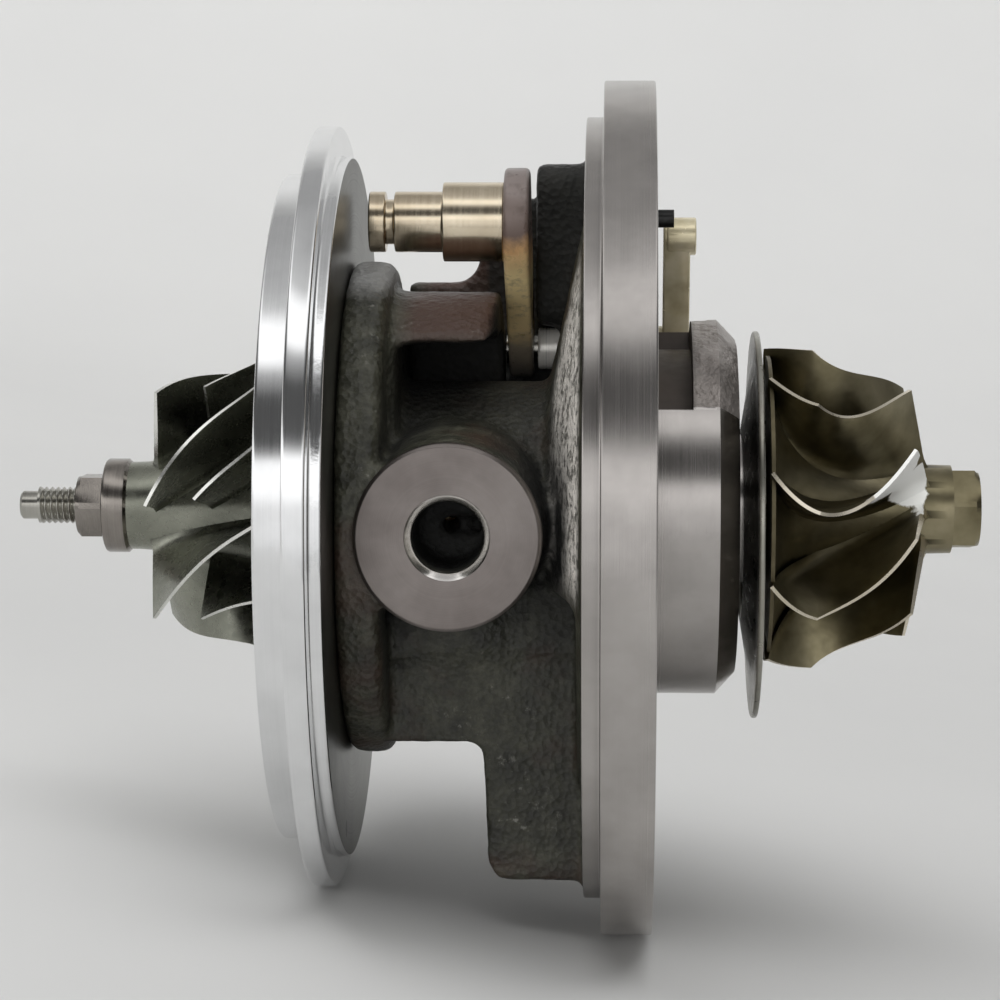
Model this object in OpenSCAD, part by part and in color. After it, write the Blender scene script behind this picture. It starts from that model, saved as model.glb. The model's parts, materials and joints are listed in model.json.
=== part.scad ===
// Turbocharger cartridge of the variable nozzle kind: centre housing, rotor, bearings, seals and vane crank.
// The shaft lies along X and the turbine is at +X. The origin is on the shaft axis, at the face of the
// turbine flange that the nozzle ring sits on. The oil inlet faces -Y and the oil drain faces +Y.

/* [Turbine flange and nose] */
// Radius of the turned rim of the turbine flange
flange_r = 57.0; // [54:0.5:62]
// Thickness of the turned rim
flange_t = 6.7; // [5:0.1:9]
// Radius of the step behind the rim
step_r = 52.2; // [48:0.5:53]
// Thickness of the step behind the rim
step_t = 2.3; // [1.5:0.1:4]
// Radius of the nose that carries the nozzle ring
nose_r = 24.9; // [23:0.1:25]
// Length of the nose from the flange face
nose_len = 11.0; // [9:0.1:13]
// Radius of the spigot that the heat shield hangs on
spigot_r = 10.0; // [9.5:0.1:11]
// Length of that spigot
spigot_len = 2.2; // [1.8:0.1:3]

/* [Neck of the housing] */
// Length of the neck between the two flanges
neck_len = 25.5; // [24:0.5:32]
// Radius of the neck's round top and far side
neck_r = 29.0; // [27:0.5:30]
// Thickness of the round wall over the side pocket
neck_wall = 6.0; // [4:0.5:7]
// Distance of the flat near side from the shaft axis
neck_flat = 17.0; // [16:0.5:20]
// Radius of the bearing barrel inside the neck
barrel_r = 17.0; // [14.5:0.5:18]
// Radius of the cast flange at the compressor end
cast_flange_r = 33.0; // [31:0.5:35]
// Thickness of the cast flange at the compressor end
cast_flange_t = 5.7; // [5:0.1:9]
// Depth of the neck's flat underside below the shaft axis
neck_low = 29.4; // [28:0.1:34]
// Depth of the lower lug below the shaft axis
lug_low = 48.0; // [46:0.5:52]
// Width of the lugs along the shaft
lug_w = 13.2; // [11:0.1:15]
// Height of the upper lug above the shaft axis
lug_high = 45.9; // [42:0.1:48]

/* [Oil ports] */
// Distance of the inlet's axis from the cast flange
inlet_back = 8.601; // [7:0.001:10]
// Distance of the inlet's face from the shaft axis
inlet_y = 33.0; // [30:0.5:38]
// Radius of the inlet boss at its face
inlet_boss_r = 11.6; // [9:0.1:12]
// Radius of the inlet hole, tapped M10 x 1
inlet_r = 4.5; // [4:0.1:6]
// Depth of the tapped inlet hole
inlet_depth = 13.0; // [10:0.5:14]
// Distance of the drain's axis from the turbine flange face
drain_x = 22.0; // [20:0.5:24]
// Distance of the drain's face from the shaft axis
drain_y = 36.0; // [34:0.5:40]
// Radius of the drain bore
drain_r = 7.5; // [6:0.5:8]
// Distance between the two drain bolts
drain_pitch = 38.0; // [34:0.5:42]
// Radius of the drain's bolt holes, tapped M6
drain_bolt_r = 2.5; // [2:0.1:3]

/* [Compressor backplate] */
// Radius of the backplate's widest rim
rim_r = 51.0; // [48:0.5:54]
// Thickness of that rim
rim_t = 2.9; // [2:0.1:4]
// Radius of the register that enters the compressor cover
register_r = 44.7; // [42:0.1:46]
// Length of the register
register_t = 4.2; // [3.6:0.1:6]
// Radius of the step behind the rim
rear_step_r = 47.0; // [44:0.5:48]
// Thickness of the step behind the rim
rear_step_t = 1.6; // [1.5:0.1:3]

/* [Compressor wheel] */
// Number of full blades, each with a splitter beside it
comp_blades = 6; // [5:1:7]
// Radius of the wheel at its outlet
comp_out_r = 24.5; // [23:0.1:26]
// Radius of the inlet at the blade tips
comp_in_r = 17.3; // [16:0.1:18]
// Radius of the hub's nose
comp_nose_r = 5.9; // [5:0.1:7]
// Length of the wheel along the shaft
comp_len = 25.5; // [23:0.5:28]
// Width of the blades at the outlet
comp_tip_w = 2.4; // [1.8:0.1:3]
// Thickness of a blade at its root
comp_root_t = 1.5; // [1:0.1:2]
// Thickness of a blade at its tip
comp_tip_t = 0.7; // [0.5:0.1:1]

/* [Turbine wheel] */
// Number of blades
turb_blades = 9; // [8:1:11]
// Radius of the blade tips where the gas enters
turb_in_r = 21.5; // [20.5:0.1:22.5]
// Width of the blade edge where the gas enters
turb_in_w = 6.1; // [4.5:0.1:7]
// Radius of the blade tips where the gas leaves
turb_out_r = 17.1; // [15.5:0.1:18]
// Length of the blades along the shaft
turb_len = 19.9; // [17:0.1:22]
// Radius of the hub where the gas leaves
turb_hub_r = 6.0; // [5:0.1:7]
// Length of the round nose behind the blades
turb_nose = 3.7; // [2:0.1:6]
// Length of the hexagon at the end
turb_hex = 3.7; // [2:0.1:6]
// Thickness of a blade at its root
turb_root_t = 1.7; // [1.2:0.1:2.2]
// Thickness of a blade at its tip
turb_tip_t = 0.9; // [0.6:0.1:1.2]
// Distance of the wheel's back from the end of the nose
turb_gap = 4.0; // [3.6:0.1:5]

/* [Shaft and bearings] */
// Radius of the shaft's journals
journal_r = 4.0; // [3.5:0.1:4.5]
// Radius of the floating bearings
bearing_r = 6.5; // [6:0.1:7]
// Length of a floating bearing
bearing_len = 7.0; // [6:0.1:8]
// Radial clearance of everything that runs in oil
run_gap = 0.05; // [0.02:0.01:0.08]
// Radius of the shaft's thread and of the stub through the compressor wheel
stub_r = 2.5; // [2.2:0.1:3]
// Length of thread that stands beyond the nut
thread_out = 5.5; // [3:0.1:8]
// Length of the plain tip
tip_len = 2.4; // [1:0.1:4]
// Radius of the turbine end of the shaft, with the seal ring's groove
seal_hub_r = 8.0; // [7.5:0.1:8.3]
// Width across the flats of the nut
nut_flats = 8.0; // [7:0.1:9]
// Thickness of the nut's hexagon
nut_hex_t = 3.8; // [3:0.1:5]
// Radius of the nut's round flange
nut_flange_r = 6.35; // [5.5:0.05:7]
// Thickness of the nut's round flange
nut_flange_t = 3.4; // [2:0.1:4]

/* [Heat shield] */
// Outer radius of the shield
shield_r = 26.0; // [24:0.1:28]
// Radius where its flat brim begins
shield_brim_r = 21.7; // [19:0.1:23]
// Thickness of the sheet
shield_t = 0.8; // [0.5:0.1:0.9]
// Depth of the dish
shield_dish = 1.5; // [1:0.1:1.6]
// Radius of its hole
shield_hole_r = 12.5; // [12:0.1:14]

/* [Vane crank] */
// Distance of the crank's axis behind the shaft
crank_y = 20.4; // [19.5:0.1:21]
// Height of the crank's axis above the shaft
crank_z = 20.1; // [19.5:0.1:21]
// Length of the outer lever between its two axes
lever_len = 26.4; // [26:0.1:29]
// Angle of the outer lever, from +Y towards +Z
lever_angle = 136.4; // [115:0.1:137]
// Thickness of the outer lever
lever_t = 3.4; // [3:0.1:4.5]
// Radius of the lever's head
lever_head_r = 7.2; // [6.5:0.1:7.5]
// Radius of the lever's end at the spindle
lever_end_r = 4.0; // [3.6:0.1:4.4]
// Radius of the actuator pin
pin_r = 4.05; // [3.5:0.05:4.1]
// Radius of the collar of the actuator pin
pin_collar_r = 5.3; // [4.5:0.1:5.8]
// Gap between the end of the actuator pin and the backplate
pin_gap = 2.1; // [1.5:0.1:6]
// Radius of the spindle
spindle_r = 2.2; // [1.8:0.1:2.5]
// Radius of the bush that the spindle turns in
bush_r = 3.4; // [3:0.1:4]
// Length of the inner crank arm between its two axes
arm_len = 17.2; // [14:0.1:19]
// Angle of the inner crank arm, from +Y towards +Z
arm_angle = 112.0; // [100:0.5:125]
// Thickness of the inner crank arm
arm_t = 3.1; // [2:0.1:3.4]

/* [Hidden] */
$fn = 64;

// Gaps that are shared by several pieces
air = 0.3;
slip = 0.02;
side_play = 0.1;
past = 0.5;

// Stations along the shaft, from the turbine flange towards the compressor
x_step = -flange_t;
x_neck = x_step - step_t;
x_cast = x_neck - neck_len;
x_face = x_cast - cast_flange_t;
x_rim = x_face - rear_step_t;
x_register = x_rim - rim_t;
x_front = x_register - register_t;
x_lug = x_neck - lug_w;
inlet_x = -x_cast - inlet_back;
x_spigot = nose_len + spigot_len;

// Thrust stack: bearing on the recess floor, collar round it, flinger in front of it
recess_r = 17.5;
thrust_t = 2.8;
x_floor = x_cast - side_play;
x_thrust = x_floor - thrust_t;
collar_flange_r = 8.5;
collar_neck_r = 5.0;
collar_flange_t = 1.4;
x_collar_rear = x_floor + side_play + collar_flange_t;
x_collar_front = x_thrust - side_play - collar_flange_t;
flinger_r = 6.0;
flinger_disc_r = 9.0;
x_flinger_disc = x_face + air;
wheel_gap = 0.6;
wheel_recess_r = comp_out_r + 0.8;
plate_floor_t = 4.2;
x_plate_floor = x_face - plate_floor_t;
x_wheel_back = x_plate_floor - wheel_gap;
plate_bore_r = flinger_r + air;

// Compressor wheel, nut and the shaft's threaded end
disc_edge_t = 1.2;
x_comp_out = x_wheel_back - disc_edge_t;
x_comp_nose = x_wheel_back - comp_len;
x_nut = x_comp_nose - nut_flange_t;
x_nut_hex = x_nut - nut_hex_t;
x_thread = x_nut_hex - thread_out;
x_tip = x_thread - tip_len;

// Turbine end
seal_bore_r = seal_hub_r + 0.5;
x_turb = nose_len + turb_gap;
x_weld = x_turb - 1.4;
disc_t = 1.2;
disc_r = turb_in_r - 1.0;
x_hub_end = x_turb + disc_t + turb_len;
x_nose_end = x_hub_end + turb_nose;
x_hex_end = x_nose_end + turb_hex;
seal_groove_x = 6.0;
seal_groove_w = 1.5;
seal_groove_d = 1.4;

// Bearings in the barrel
bore_r = bearing_r + run_gap;
bearing_c_x = x_collar_rear + 2.5;
bearing_t_x = -2.5 - bearing_len;
snap_t = 1.0;
snap_r = bearing_r + 0.7;
snap_groove_w = 1.2;
snap_in_r = bearing_r - 0.9;
snap_c_x = bearing_c_x - air - snap_t;
snap_t_x = bearing_t_x + bearing_len + air;

// Heat shield, which hangs on the spigot with its hole's top just above it
shield_z = spigot_r + air - shield_hole_r;
shield_x = nose_len + 0.7;

// Root of the nose: relieved behind the register, with a groove for the crank's arm
arm_x = 1.6;
nose_groove_x = arm_x + arm_t + 0.2;
nose_groove_r = nose_r - 3.6;
nose_root_r = nose_r - 0.3;
x_nose_step = nose_groove_x + 0.3;

// Crank line
lever_gap = 1.4;
lever_down = 2;
bush_out = 2.3;
x_bush = x_neck - 3.9 - bush_out;
x_lever = x_bush - lever_gap;
x_lever_out = x_lever - lever_t;
pin_y = crank_y + lever_len * cos(lever_angle);
pin_z = crank_z + lever_len * sin(lever_angle);
arm_boss_t = 4.7;
arm_boss_r = 3.2;
arm_head_r = 2.6;
crank_boss_r = 6.5;
dowel_r = 1.2;
dowel_out = 2.6;
dowel_in = 4.0;
dowel_inset = 18.2;
dowel_z = flange_r - dowel_inset;

// Thickness of the drain pad's ears, setback of the lug's sides, depth of the lug's top edge and distance of
// the slanted face above it
pad_t = 9;
lug_in = 2.0;
lug_top = 18.2;
neck_slant = 24.0;

// Backplate screws and thrust pins
screw_n = 3;
screw_r = 2.0;
screw_head_r = 3.9;
screw_head_t = 1.9;
screw_ring = 20.8;
thrust_pin_r = 1.0;
thrust_pin_ring = 13.0;
thrust_pin_in = 4.0;
seal_ring_r = 27.0;
seal_ring_w = 1.5;
seal_ring_t = 0.9;

iron = "#3b3a34";
aluminium = "#d4d6d8";
steel = "#b3b0ab";
bronze = "#b5894a";
gold = "#c2a468";
nickel = "#8f8a72";
rubber = "#222222";

// A solid turned about the shaft axis, from points of distance along the shaft and radius
module turned(points) {
  rotate([0, 90, 0])
    rotate_extrude()
      polygon([for (p = points) [p[1], p[0]]]);
}

// A round bar along the shaft's direction
module bar_x(x0, x1, r, y = 0, z = 0) {
  translate([x0, y, z])
    rotate([0, 90, 0])
      cylinder(h = x1 - x0, r = r);
}

// A round bar across the shaft, which may taper
module bar_y(y0, y1, r0, r1, x, z = 0) {
  translate([x, y0, z])
    rotate([-90, 0, 0])
      cylinder(h = y1 - y0, r1 = r0, r2 = r1);
}

// A box given by its two corners
module box(low, high) {
  translate(low)
    cube(high - low);
}

// A plate across the shaft from an outline of Y and Z
module plate_x(x0, x1) {
  translate([x0, 0, 0])
    rotate([90, 0, 90])
      linear_extrude(x1 - x0)
        children();
}

// A plate along the shaft from an outline of X and Z
module plate_y(y0, y1) {
  translate([0, y1, 0])
    rotate([90, 0, 0])
      linear_extrude(y1 - y0)
        children();
}

// Copies turned evenly round the shaft
module ring_of(count, start = 0) {
  for (i = [0 : count - 1])
    rotate([start + 360 * i / count, 0, 0])
      children();
}

// Points of an arc round a centre
function arc(cx, cy, r, a0, a1, n = 8) =
  [for (i = [0 : n]) [cx + r * cos(a0 + (a1 - a0) * i / n), cy + r * sin(a0 + (a1 - a0) * i / n)]];

// Outline of a link: two round ends joined by their common tangents
module link(c1, r1, c2, r2) {
  d = c2 - c1;
  b = atan2(d[1], d[0]);
  g = acos((r1 - r2) / norm(d));
  polygon(concat(
    arc(c1[0], c1[1], r1, b + g, b + 360 - g, 20),
    arc(c2[0], c2[1], r2, b - g, b + g, 14)));
}

// A straight drilling between two points in the plane of the shaft and the oil inlet
module drilling(p0, p1, r) {
  d = p1 - p0;
  translate([p0[0], p0[1], 0])
    rotate([0, 90, atan2(d[1], d[0])])
      cylinder(h = norm(d), r = r);
}

function mix(a, b, s) = a + (b - a) * s;
function polar_point(x, r, a) = [x, r * cos(a), r * sin(a)];
function unit(v) = v / norm(v);

// Triangles of a closed blade whose two faces are grids of points, one grid after the other
function quad(a, b, c, d) = [[a, b, c], [a, c, d]];
function blade_faces(nt, ns) =
  let (m = ns + 1, k = (nt + 1) * m)
  [for (i = [0 : nt - 1], j = [0 : ns - 1], f = concat(
      quad(i * m + j, i * m + j + 1, (i + 1) * m + j + 1, (i + 1) * m + j),
      quad(k + i * m + j, k + (i + 1) * m + j, k + (i + 1) * m + j + 1, k + i * m + j + 1))) f,
   for (i = [0 : nt - 1], f = concat(
      quad(i * m, (i + 1) * m, k + (i + 1) * m, k + i * m),
      quad((i + 1) * m + ns, i * m + ns, k + i * m + ns, k + (i + 1) * m + ns))) f,
   for (j = [0 : ns - 1], f = concat(
      quad(j + 1, j, k + j, k + j + 1),
      quad(nt * m + j, nt * m + j + 1, k + nt * m + j + 1, k + nt * m + j))) f];

// Compressor blade: hub and shroud are quarter ellipses, and the wrap is steep at the inlet
comp_le_hub = 0.093;
comp_le_tip = 4.4;
comp_sink = 0.5;
function comp_hub_point(t) =
  [mix(x_comp_nose, x_comp_out, sin(90 * t)), comp_out_r - (comp_out_r - comp_nose_r) * cos(90 * t)];
function comp_root(t) =
  let (u = mix(comp_le_hub, 1, t), p = comp_hub_point(u))
  [p[0] + comp_sink * sin(90 * u), p[1] - comp_sink * cos(90 * u)];
function comp_shroud(t) =
  [mix(x_comp_nose + comp_le_tip, x_comp_out - comp_tip_w, sin(90 * t)),
   comp_out_r - (comp_out_r - comp_in_r) * cos(90 * t)];
function comp_wrap(t) = 173.5 - 48 * (1 - pow(1 - t, 4)) - 15 * t * t;
function comp_mid(t, s) =
  let (a = comp_root(t), b = comp_shroud(t))
  polar_point(mix(a[0], b[0], s), mix(a[1], b[1], s), comp_wrap(t));
function comp_half(t, s) = mix(comp_root_t, comp_tip_t, s) / 2;

// Turbine blade: radial fibres whose angle is a parabola along the shaft
turb_sink = 0.5;
turb_bow = 0.24;
turb_bow_x = x_turb + 7.8;
turb_end_rake = 2.3;
function turb_hub_point(t) =
  [mix(x_turb + disc_t, x_hub_end, 1 - cos(90 * t)), disc_r - (disc_r - turb_hub_r) * sin(90 * t)];
function turb_root(t) =
  [mix(x_turb + disc_t - turb_sink, x_hub_end, 1 - cos(90 * t)),
   turb_in_r - (turb_in_r - turb_hub_r + turb_sink) * sin(90 * t)];
function turb_shroud(t) =
  let (s = t * t * (2 - t))
  [mix(x_turb + turb_in_w, x_hub_end - turb_end_rake, s),
   turb_out_r + (turb_in_r - turb_out_r) * (0.6 * pow(1 - s, 4) + 0.4 * (1 - s))];
function turb_wrap(x) = 215.5 - turb_bow * pow(x - turb_bow_x, 2);
function turb_mid(t, s) =
  let (a = turb_root(t), b = turb_shroud(t), x = mix(a[0], b[0], s))
  polar_point(x, mix(a[1], b[1], s), turb_wrap(x));
function turb_half(t, s) = mix(turb_root_t, turb_tip_t, s) / 2;

// A blade as a closed shell: its middle surface thickened to both sides along its own normals
function shell_points(mid, half, t0, nt, ns) =
  let (e = 0.002)
  [for (side = [1, -1], i = [0 : nt], j = [0 : ns])
    let (
      t = mix(t0, 1, i / nt),
      s = j / ns,
      along = mid(min(t + e, 1), s) - mid(max(t - e, 0), s),
      across = mid(t, min(s + e, 1)) - mid(t, max(s - e, 0)))
    mid(t, s) + side * half(t, s) * unit(cross(along, across))];

module blade(mid, half, t0, nt, ns) {
  polyhedron(shell_points(mid, half, t0, nt, ns), blade_faces(nt, ns));
}

module compressor_wheel() {
  hub = [for (i = [0 : 14]) comp_hub_point(i / 14)];
  back = [[x_wheel_back, comp_out_r], [x_wheel_back, stub_r + run_gap], [x_comp_nose, stub_r + run_gap]];
  color(aluminium) {
    turned(concat(hub, back));
    ring_of(comp_blades)
      blade(function (t, s) comp_mid(t, s), function (t, s) comp_half(t, s), 0, 8, 2);
    ring_of(comp_blades, 180 / comp_blades)
      blade(function (t, s) comp_mid(t, s), function (t, s) comp_half(t, s), 0.24, 7, 2);
  }
}

module turbine_wheel() {
  hub = [for (i = [0 : 12]) turb_hub_point(i / 12)];
  nose = [[x_nose_end, turb_hub_r], [x_nose_end, 0], [x_weld, 0], [x_weld, seal_hub_r]];
  foot = [[x_turb - 1, seal_hub_r], [x_turb, seal_hub_r + 2], [x_turb, disc_r]];
  hex_r = turb_hub_r - 0.2;
  color(nickel) {
    turned(concat(hub, nose, foot));
    ring_of(turb_blades)
      blade(function (t, s) turb_mid(t, s), function (t, s) turb_half(t, s), 0, 9, 2);
    intersection() {
      translate([x_nose_end - past, 0, 0])
        rotate([0, 90, 0])
          rotate([0, 0, 50])
            cylinder(h = turb_hex + past, r = hex_r, $fn = 6);
      turned([[x_nose_end - 1, 0], [x_nose_end - 1, hex_r], [x_hex_end - 0.7, hex_r],
        [x_hex_end, hex_r - 0.9], [x_hex_end, 0]]);
    }
  }
}

module rotor_shaft() {
  groove_0 = seal_groove_x;
  groove_1 = seal_groove_x + seal_groove_w;
  groove_r = seal_hub_r - seal_groove_d;
  waist_r = journal_r - 0.4;
  waist_0 = bearing_c_x + bearing_len + 1;
  waist_1 = bearing_t_x - 1;
  color(steel)
    turned([[x_tip, 0], [x_tip, stub_r - 0.9], [x_tip + 0.3, stub_r - 0.6], [x_thread, stub_r - 0.6],
      [x_thread, stub_r], [x_collar_rear, stub_r], [x_collar_rear, journal_r], [waist_0, journal_r],
      [waist_0 + 1, waist_r], [waist_1 - 1, waist_r], [waist_1, journal_r], [1.0, journal_r],
      [3.0, seal_hub_r], [groove_0, seal_hub_r], [groove_0, groove_r], [groove_1, groove_r],
      [groove_1, seal_hub_r], [x_weld, seal_hub_r], [x_weld, 0]]);
}

module compressor_nut() {
  corner_r = nut_flats / 2 / cos(30);
  color(steel)
    difference() {
      union() {
        turned([[x_nut, 0], [x_nut, nut_flange_r - 0.4], [x_nut + 0.4, nut_flange_r],
          [x_comp_nose - 0.4, nut_flange_r], [x_comp_nose, nut_flange_r - 0.4], [x_comp_nose, 0]]);
        intersection() {
          translate([x_nut_hex, 0, 0])
            rotate([0, 90, 0])
              cylinder(h = nut_hex_t + past, r = corner_r, $fn = 6);
          turned([[x_nut_hex, 0], [x_nut_hex, corner_r - 0.7], [x_nut_hex + 0.6, corner_r],
            [x_nut + past, corner_r], [x_nut + past, 0]]);
        }
      }
      bar_x(x_nut_hex - past, x_comp_nose + past, stub_r + slip);
    }
}

module thrust_collar() {
  color(steel)
    turned([[x_collar_front, stub_r + run_gap], [x_collar_front, collar_flange_r],
      [x_thrust - side_play, collar_flange_r], [x_thrust - side_play, collar_neck_r],
      [x_floor + side_play, collar_neck_r], [x_floor + side_play, collar_flange_r],
      [x_collar_rear, collar_flange_r], [x_collar_rear, stub_r + run_gap]]);
}

module oil_flinger() {
  ring_0 = x_plate_floor + 1.0;
  ring_1 = ring_0 + seal_groove_w;
  color(steel)
    turned([[x_wheel_back, stub_r + run_gap], [x_wheel_back, flinger_r], [ring_0, flinger_r],
      [ring_0, flinger_r - 1], [ring_1, flinger_r - 1], [ring_1, flinger_r], [x_flinger_disc, flinger_r],
      [x_flinger_disc, flinger_disc_r], [x_collar_front, flinger_disc_r],
      [x_collar_front, stub_r + run_gap]]);
}

module compressor_piston_ring() {
  ring_0 = x_plate_floor + 1.0 + side_play;
  ring_1 = x_plate_floor + 1.0 + seal_groove_w - side_play;
  color(iron)
    difference() {
      turned([[ring_0, flinger_r - 0.7], [ring_0, plate_bore_r], [ring_1, plate_bore_r],
        [ring_1, flinger_r - 0.7]]);
      box([ring_0 - past, 0, -air], [ring_1 + past, plate_bore_r + past, air]);
    }
}

module turbine_piston_ring() {
  ring_0 = seal_groove_x + side_play;
  ring_1 = seal_groove_x + seal_groove_w - side_play;
  ring_in = seal_hub_r - seal_groove_d + 0.4;
  color(iron)
    difference() {
      turned([[ring_0, ring_in], [ring_0, seal_bore_r], [ring_1, seal_bore_r], [ring_1, ring_in]]);
      box([ring_0 - past, 0, -air], [ring_1 + past, seal_bore_r + past, air]);
    }
}

// A floating bearing with its ring of oil holes
module floating_bearing(x0) {
  holes = 6;
  difference() {
    bar_x(x0, x0 + bearing_len, bearing_r);
    bar_x(x0 - past, x0 + bearing_len + past, journal_r + run_gap);
    ring_of(holes)
      bar_y(0, bearing_r + past, 0.9, 0.9, x0 + bearing_len / 2);
  }
}

module journal_bearing_compressor() {
  color(bronze) floating_bearing(bearing_c_x);
}

module journal_bearing_turbine() {
  color(bronze) floating_bearing(bearing_t_x);
}

module bearing_spacer() {
  x0 = bearing_c_x + bearing_len + air;
  x1 = bearing_t_x - air;
  window_r = 2.5;
  color(steel)
    difference() {
      bar_x(x0, x1, bearing_r);
      bar_x(x0 - past, x1 + past, journal_r + 0.8);
      ring_of(4)
        bar_y(0, bearing_r + past, window_r, window_r, (x0 + x1) / 2);
    }
}

module bearing_rings() {
  color(steel)
    for (x0 = [snap_c_x, snap_t_x])
      difference() {
        bar_x(x0, x0 + snap_t, snap_r);
        bar_x(x0 - past, x0 + snap_t + past, snap_in_r);
        box([x0 - past, 0, -1.5], [x0 + snap_t + past, snap_r + past, 1.5]);
      }
}

module thrust_bearing() {
  throat_r = collar_neck_r + air;
  color(bronze)
    difference() {
      bar_x(x_thrust, x_floor, recess_r - 0.2);
      bar_x(x_thrust - past, x_floor + past, throat_r);
      box([x_thrust - past, 0, -throat_r], [x_floor + past, recess_r + past, throat_r]);
      ring_of(4, 45)
        box([x_thrust - past, throat_r - 1, -0.5], [x_thrust + 0.3, collar_flange_r, 0.5]);
      thrust_pin_bars(x_thrust - past, x_floor + past);
    }
}

module thrust_pin_bars(x0, x1) {
  for (side = [-1, 1])
    bar_x(x0, x1, thrust_pin_r, -thrust_pin_ring * cos(35), side * thrust_pin_ring * sin(35));
}

module thrust_pins() {
  color(steel)
    thrust_pin_bars(x_thrust + 0.6, x_floor + thrust_pin_in);
}

module oil_deflector() {
  sheet = 0.8;
  rim_in = recess_r - 1.2;
  color(steel)
    turned([[x_thrust - sheet, collar_flange_r + 0.8], [x_thrust - sheet, rim_in], [x_face, rim_in],
      [x_face, recess_r - 0.2], [x_thrust, recess_r - 0.2], [x_thrust, collar_flange_r + 0.8]]);
}

module screw_places() {
  ring_of(screw_n, 90)
    translate([0, screw_ring, 0])
      children();
}

module screw_solid(x_end, grow) {
  turned([[x_plate_floor, 0], [x_plate_floor, screw_head_r], [x_plate_floor + screw_head_t, screw_r + grow],
    [x_end, screw_r + grow], [x_end, 0]]);
}

module compressor_backplate() {
  edge = 0.5;
  hole_depth = 1.2;
  color(aluminium)
    difference() {
      turned([[x_front, wheel_recess_r + edge], [x_front, register_r - edge], [x_front + edge, register_r],
        [x_register, register_r], [x_register, rim_r - edge], [x_register + edge, rim_r],
        [x_rim - edge, rim_r], [x_rim, rim_r - edge], [x_rim, rear_step_r], [x_face, rear_step_r],
        [x_face, plate_bore_r], [x_plate_floor, plate_bore_r], [x_plate_floor, wheel_recess_r],
        [x_front + edge, wheel_recess_r]]);
      turned([[x_face - seal_ring_t, seal_ring_r], [x_face - seal_ring_t, seal_ring_r + seal_ring_w],
        [x_face + past, seal_ring_r + seal_ring_w], [x_face + past, seal_ring_r]]);
      screw_places()
        screw_solid(x_face + past, slip);
      rotate([251, 0, 0])
        bar_x(x_face - hole_depth, x_face + past, 1.1, rear_step_r - 1.8);
    }
}

module backplate_seal() {
  color(rubber)
    turned([[x_face - seal_ring_t, seal_ring_r], [x_face - seal_ring_t, seal_ring_r + seal_ring_w],
      [x_face, seal_ring_r + seal_ring_w], [x_face, seal_ring_r]]);
}

module backplate_screws() {
  color(steel)
    screw_places()
      difference() {
        screw_solid(x_cast - past, 0);
        translate([x_plate_floor - past, 0, 0])
          rotate([0, 90, 0])
            cylinder(h = past + 1.2, r = 1.4, $fn = 6);
      }
}

module heat_shield() {
  x_brim = shield_x + shield_dish;
  color(nickel)
    translate([0, 0, shield_z])
      turned([[shield_x, shield_hole_r], [x_brim, shield_brim_r], [x_brim, shield_r],
        [x_brim + shield_t, shield_r], [x_brim + shield_t, shield_brim_r],
        [shield_x + shield_t, shield_hole_r]]);
}

// Outline of the lower lug and the neck's flat underside
module lug_outline() {
  corner = 3.0;
  fillet = 1.8;
  slant = 0.6;
  polygon(concat(
    [[x_neck, -lug_top], [x_cast, -lug_top], [x_cast, -neck_low]],
    arc(x_lug - fillet, -neck_low - fillet, fillet, 90, 0),
    arc(x_lug + slant + corner, -lug_low + corner, corner, 180, 270),
    [[x_neck, -lug_low]]));
}

// Outline of the far wall, which rises beside the lever as a rib
module far_wall_outline() {
  fillet = 3.5;
  corner = 3.0;
  rib_x = x_lug - 2.3;
  top = lug_high - 5;
  polygon(concat(
    [[x_neck + past, -barrel_r], [x_cast, -barrel_r], [x_cast, neck_r]],
    arc(rib_x - fillet, neck_r + fillet, fillet, 270, 360),
    arc(rib_x + corner, top - corner, corner, 180, 90),
    [[x_neck + past, top]]));
}

// Outline of the upper lug, with round corners
module upper_lug_outline(y0, y1) {
  corner = 3.0;
  far_corner = 8.0;
  z0 = crank_z + crank_boss_r - corner;
  polygon(concat(
    arc(y1 - far_corner, lug_high - far_corner, far_corner, 0, 90),
    arc(y0 + corner, lug_high - corner, corner, 90, 180),
    arc(y0 + corner, z0 + corner, corner, 180, 270),
    arc(y1 - corner, z0 + corner, corner, 270, 360)));
}

// Outline of the drain pad: a round middle with a smaller round ear above and below it
module pad_outline(middle_r, end_r) {
  half = drain_pitch / 2;
  g = acos((middle_r - end_r) / half);
  polygon(concat(
    arc(-drain_x, 0, middle_r, g - 90, 90 - g),
    arc(-drain_x, half, end_r, 90 - g, 90 + g),
    arc(-drain_x, 0, middle_r, 90 + g, 270 - g),
    arc(-drain_x, -half, end_r, 270 - g, 270 + g)));
}

// The round neck, cut flat on the near side, with the cast pocket above the bearing barrel
module neck_body() {
  pocket_low = 11;
  pocket_far = 14;
  pocket_x = x_cast + 1;
  slant_angle = 235;
  x_end = x_lever_out - 2 * air;
  difference() {
    bar_x(x_cast, x_end, neck_r);
    box([x_cast - past, -neck_r - past, -neck_r], [x_end + past, -neck_flat, neck_r]);
    box([pocket_x, -neck_r, pocket_low], [x_end + past, pocket_far, neck_r - neck_wall]);
    rotate([slant_angle, 0, 0])
      box([x_cast - past, neck_slant, -neck_r], [x_end + past, neck_r + past, neck_r]);
  }
  intersection() {
    bar_x(x_lug - 1, x_neck + past, neck_slant - past);
    box([x_lug - 2, -neck_flat + 1, -neck_r], [x_neck + 1, neck_flat - 1, -barrel_r / 2]);
  }
}

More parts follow.
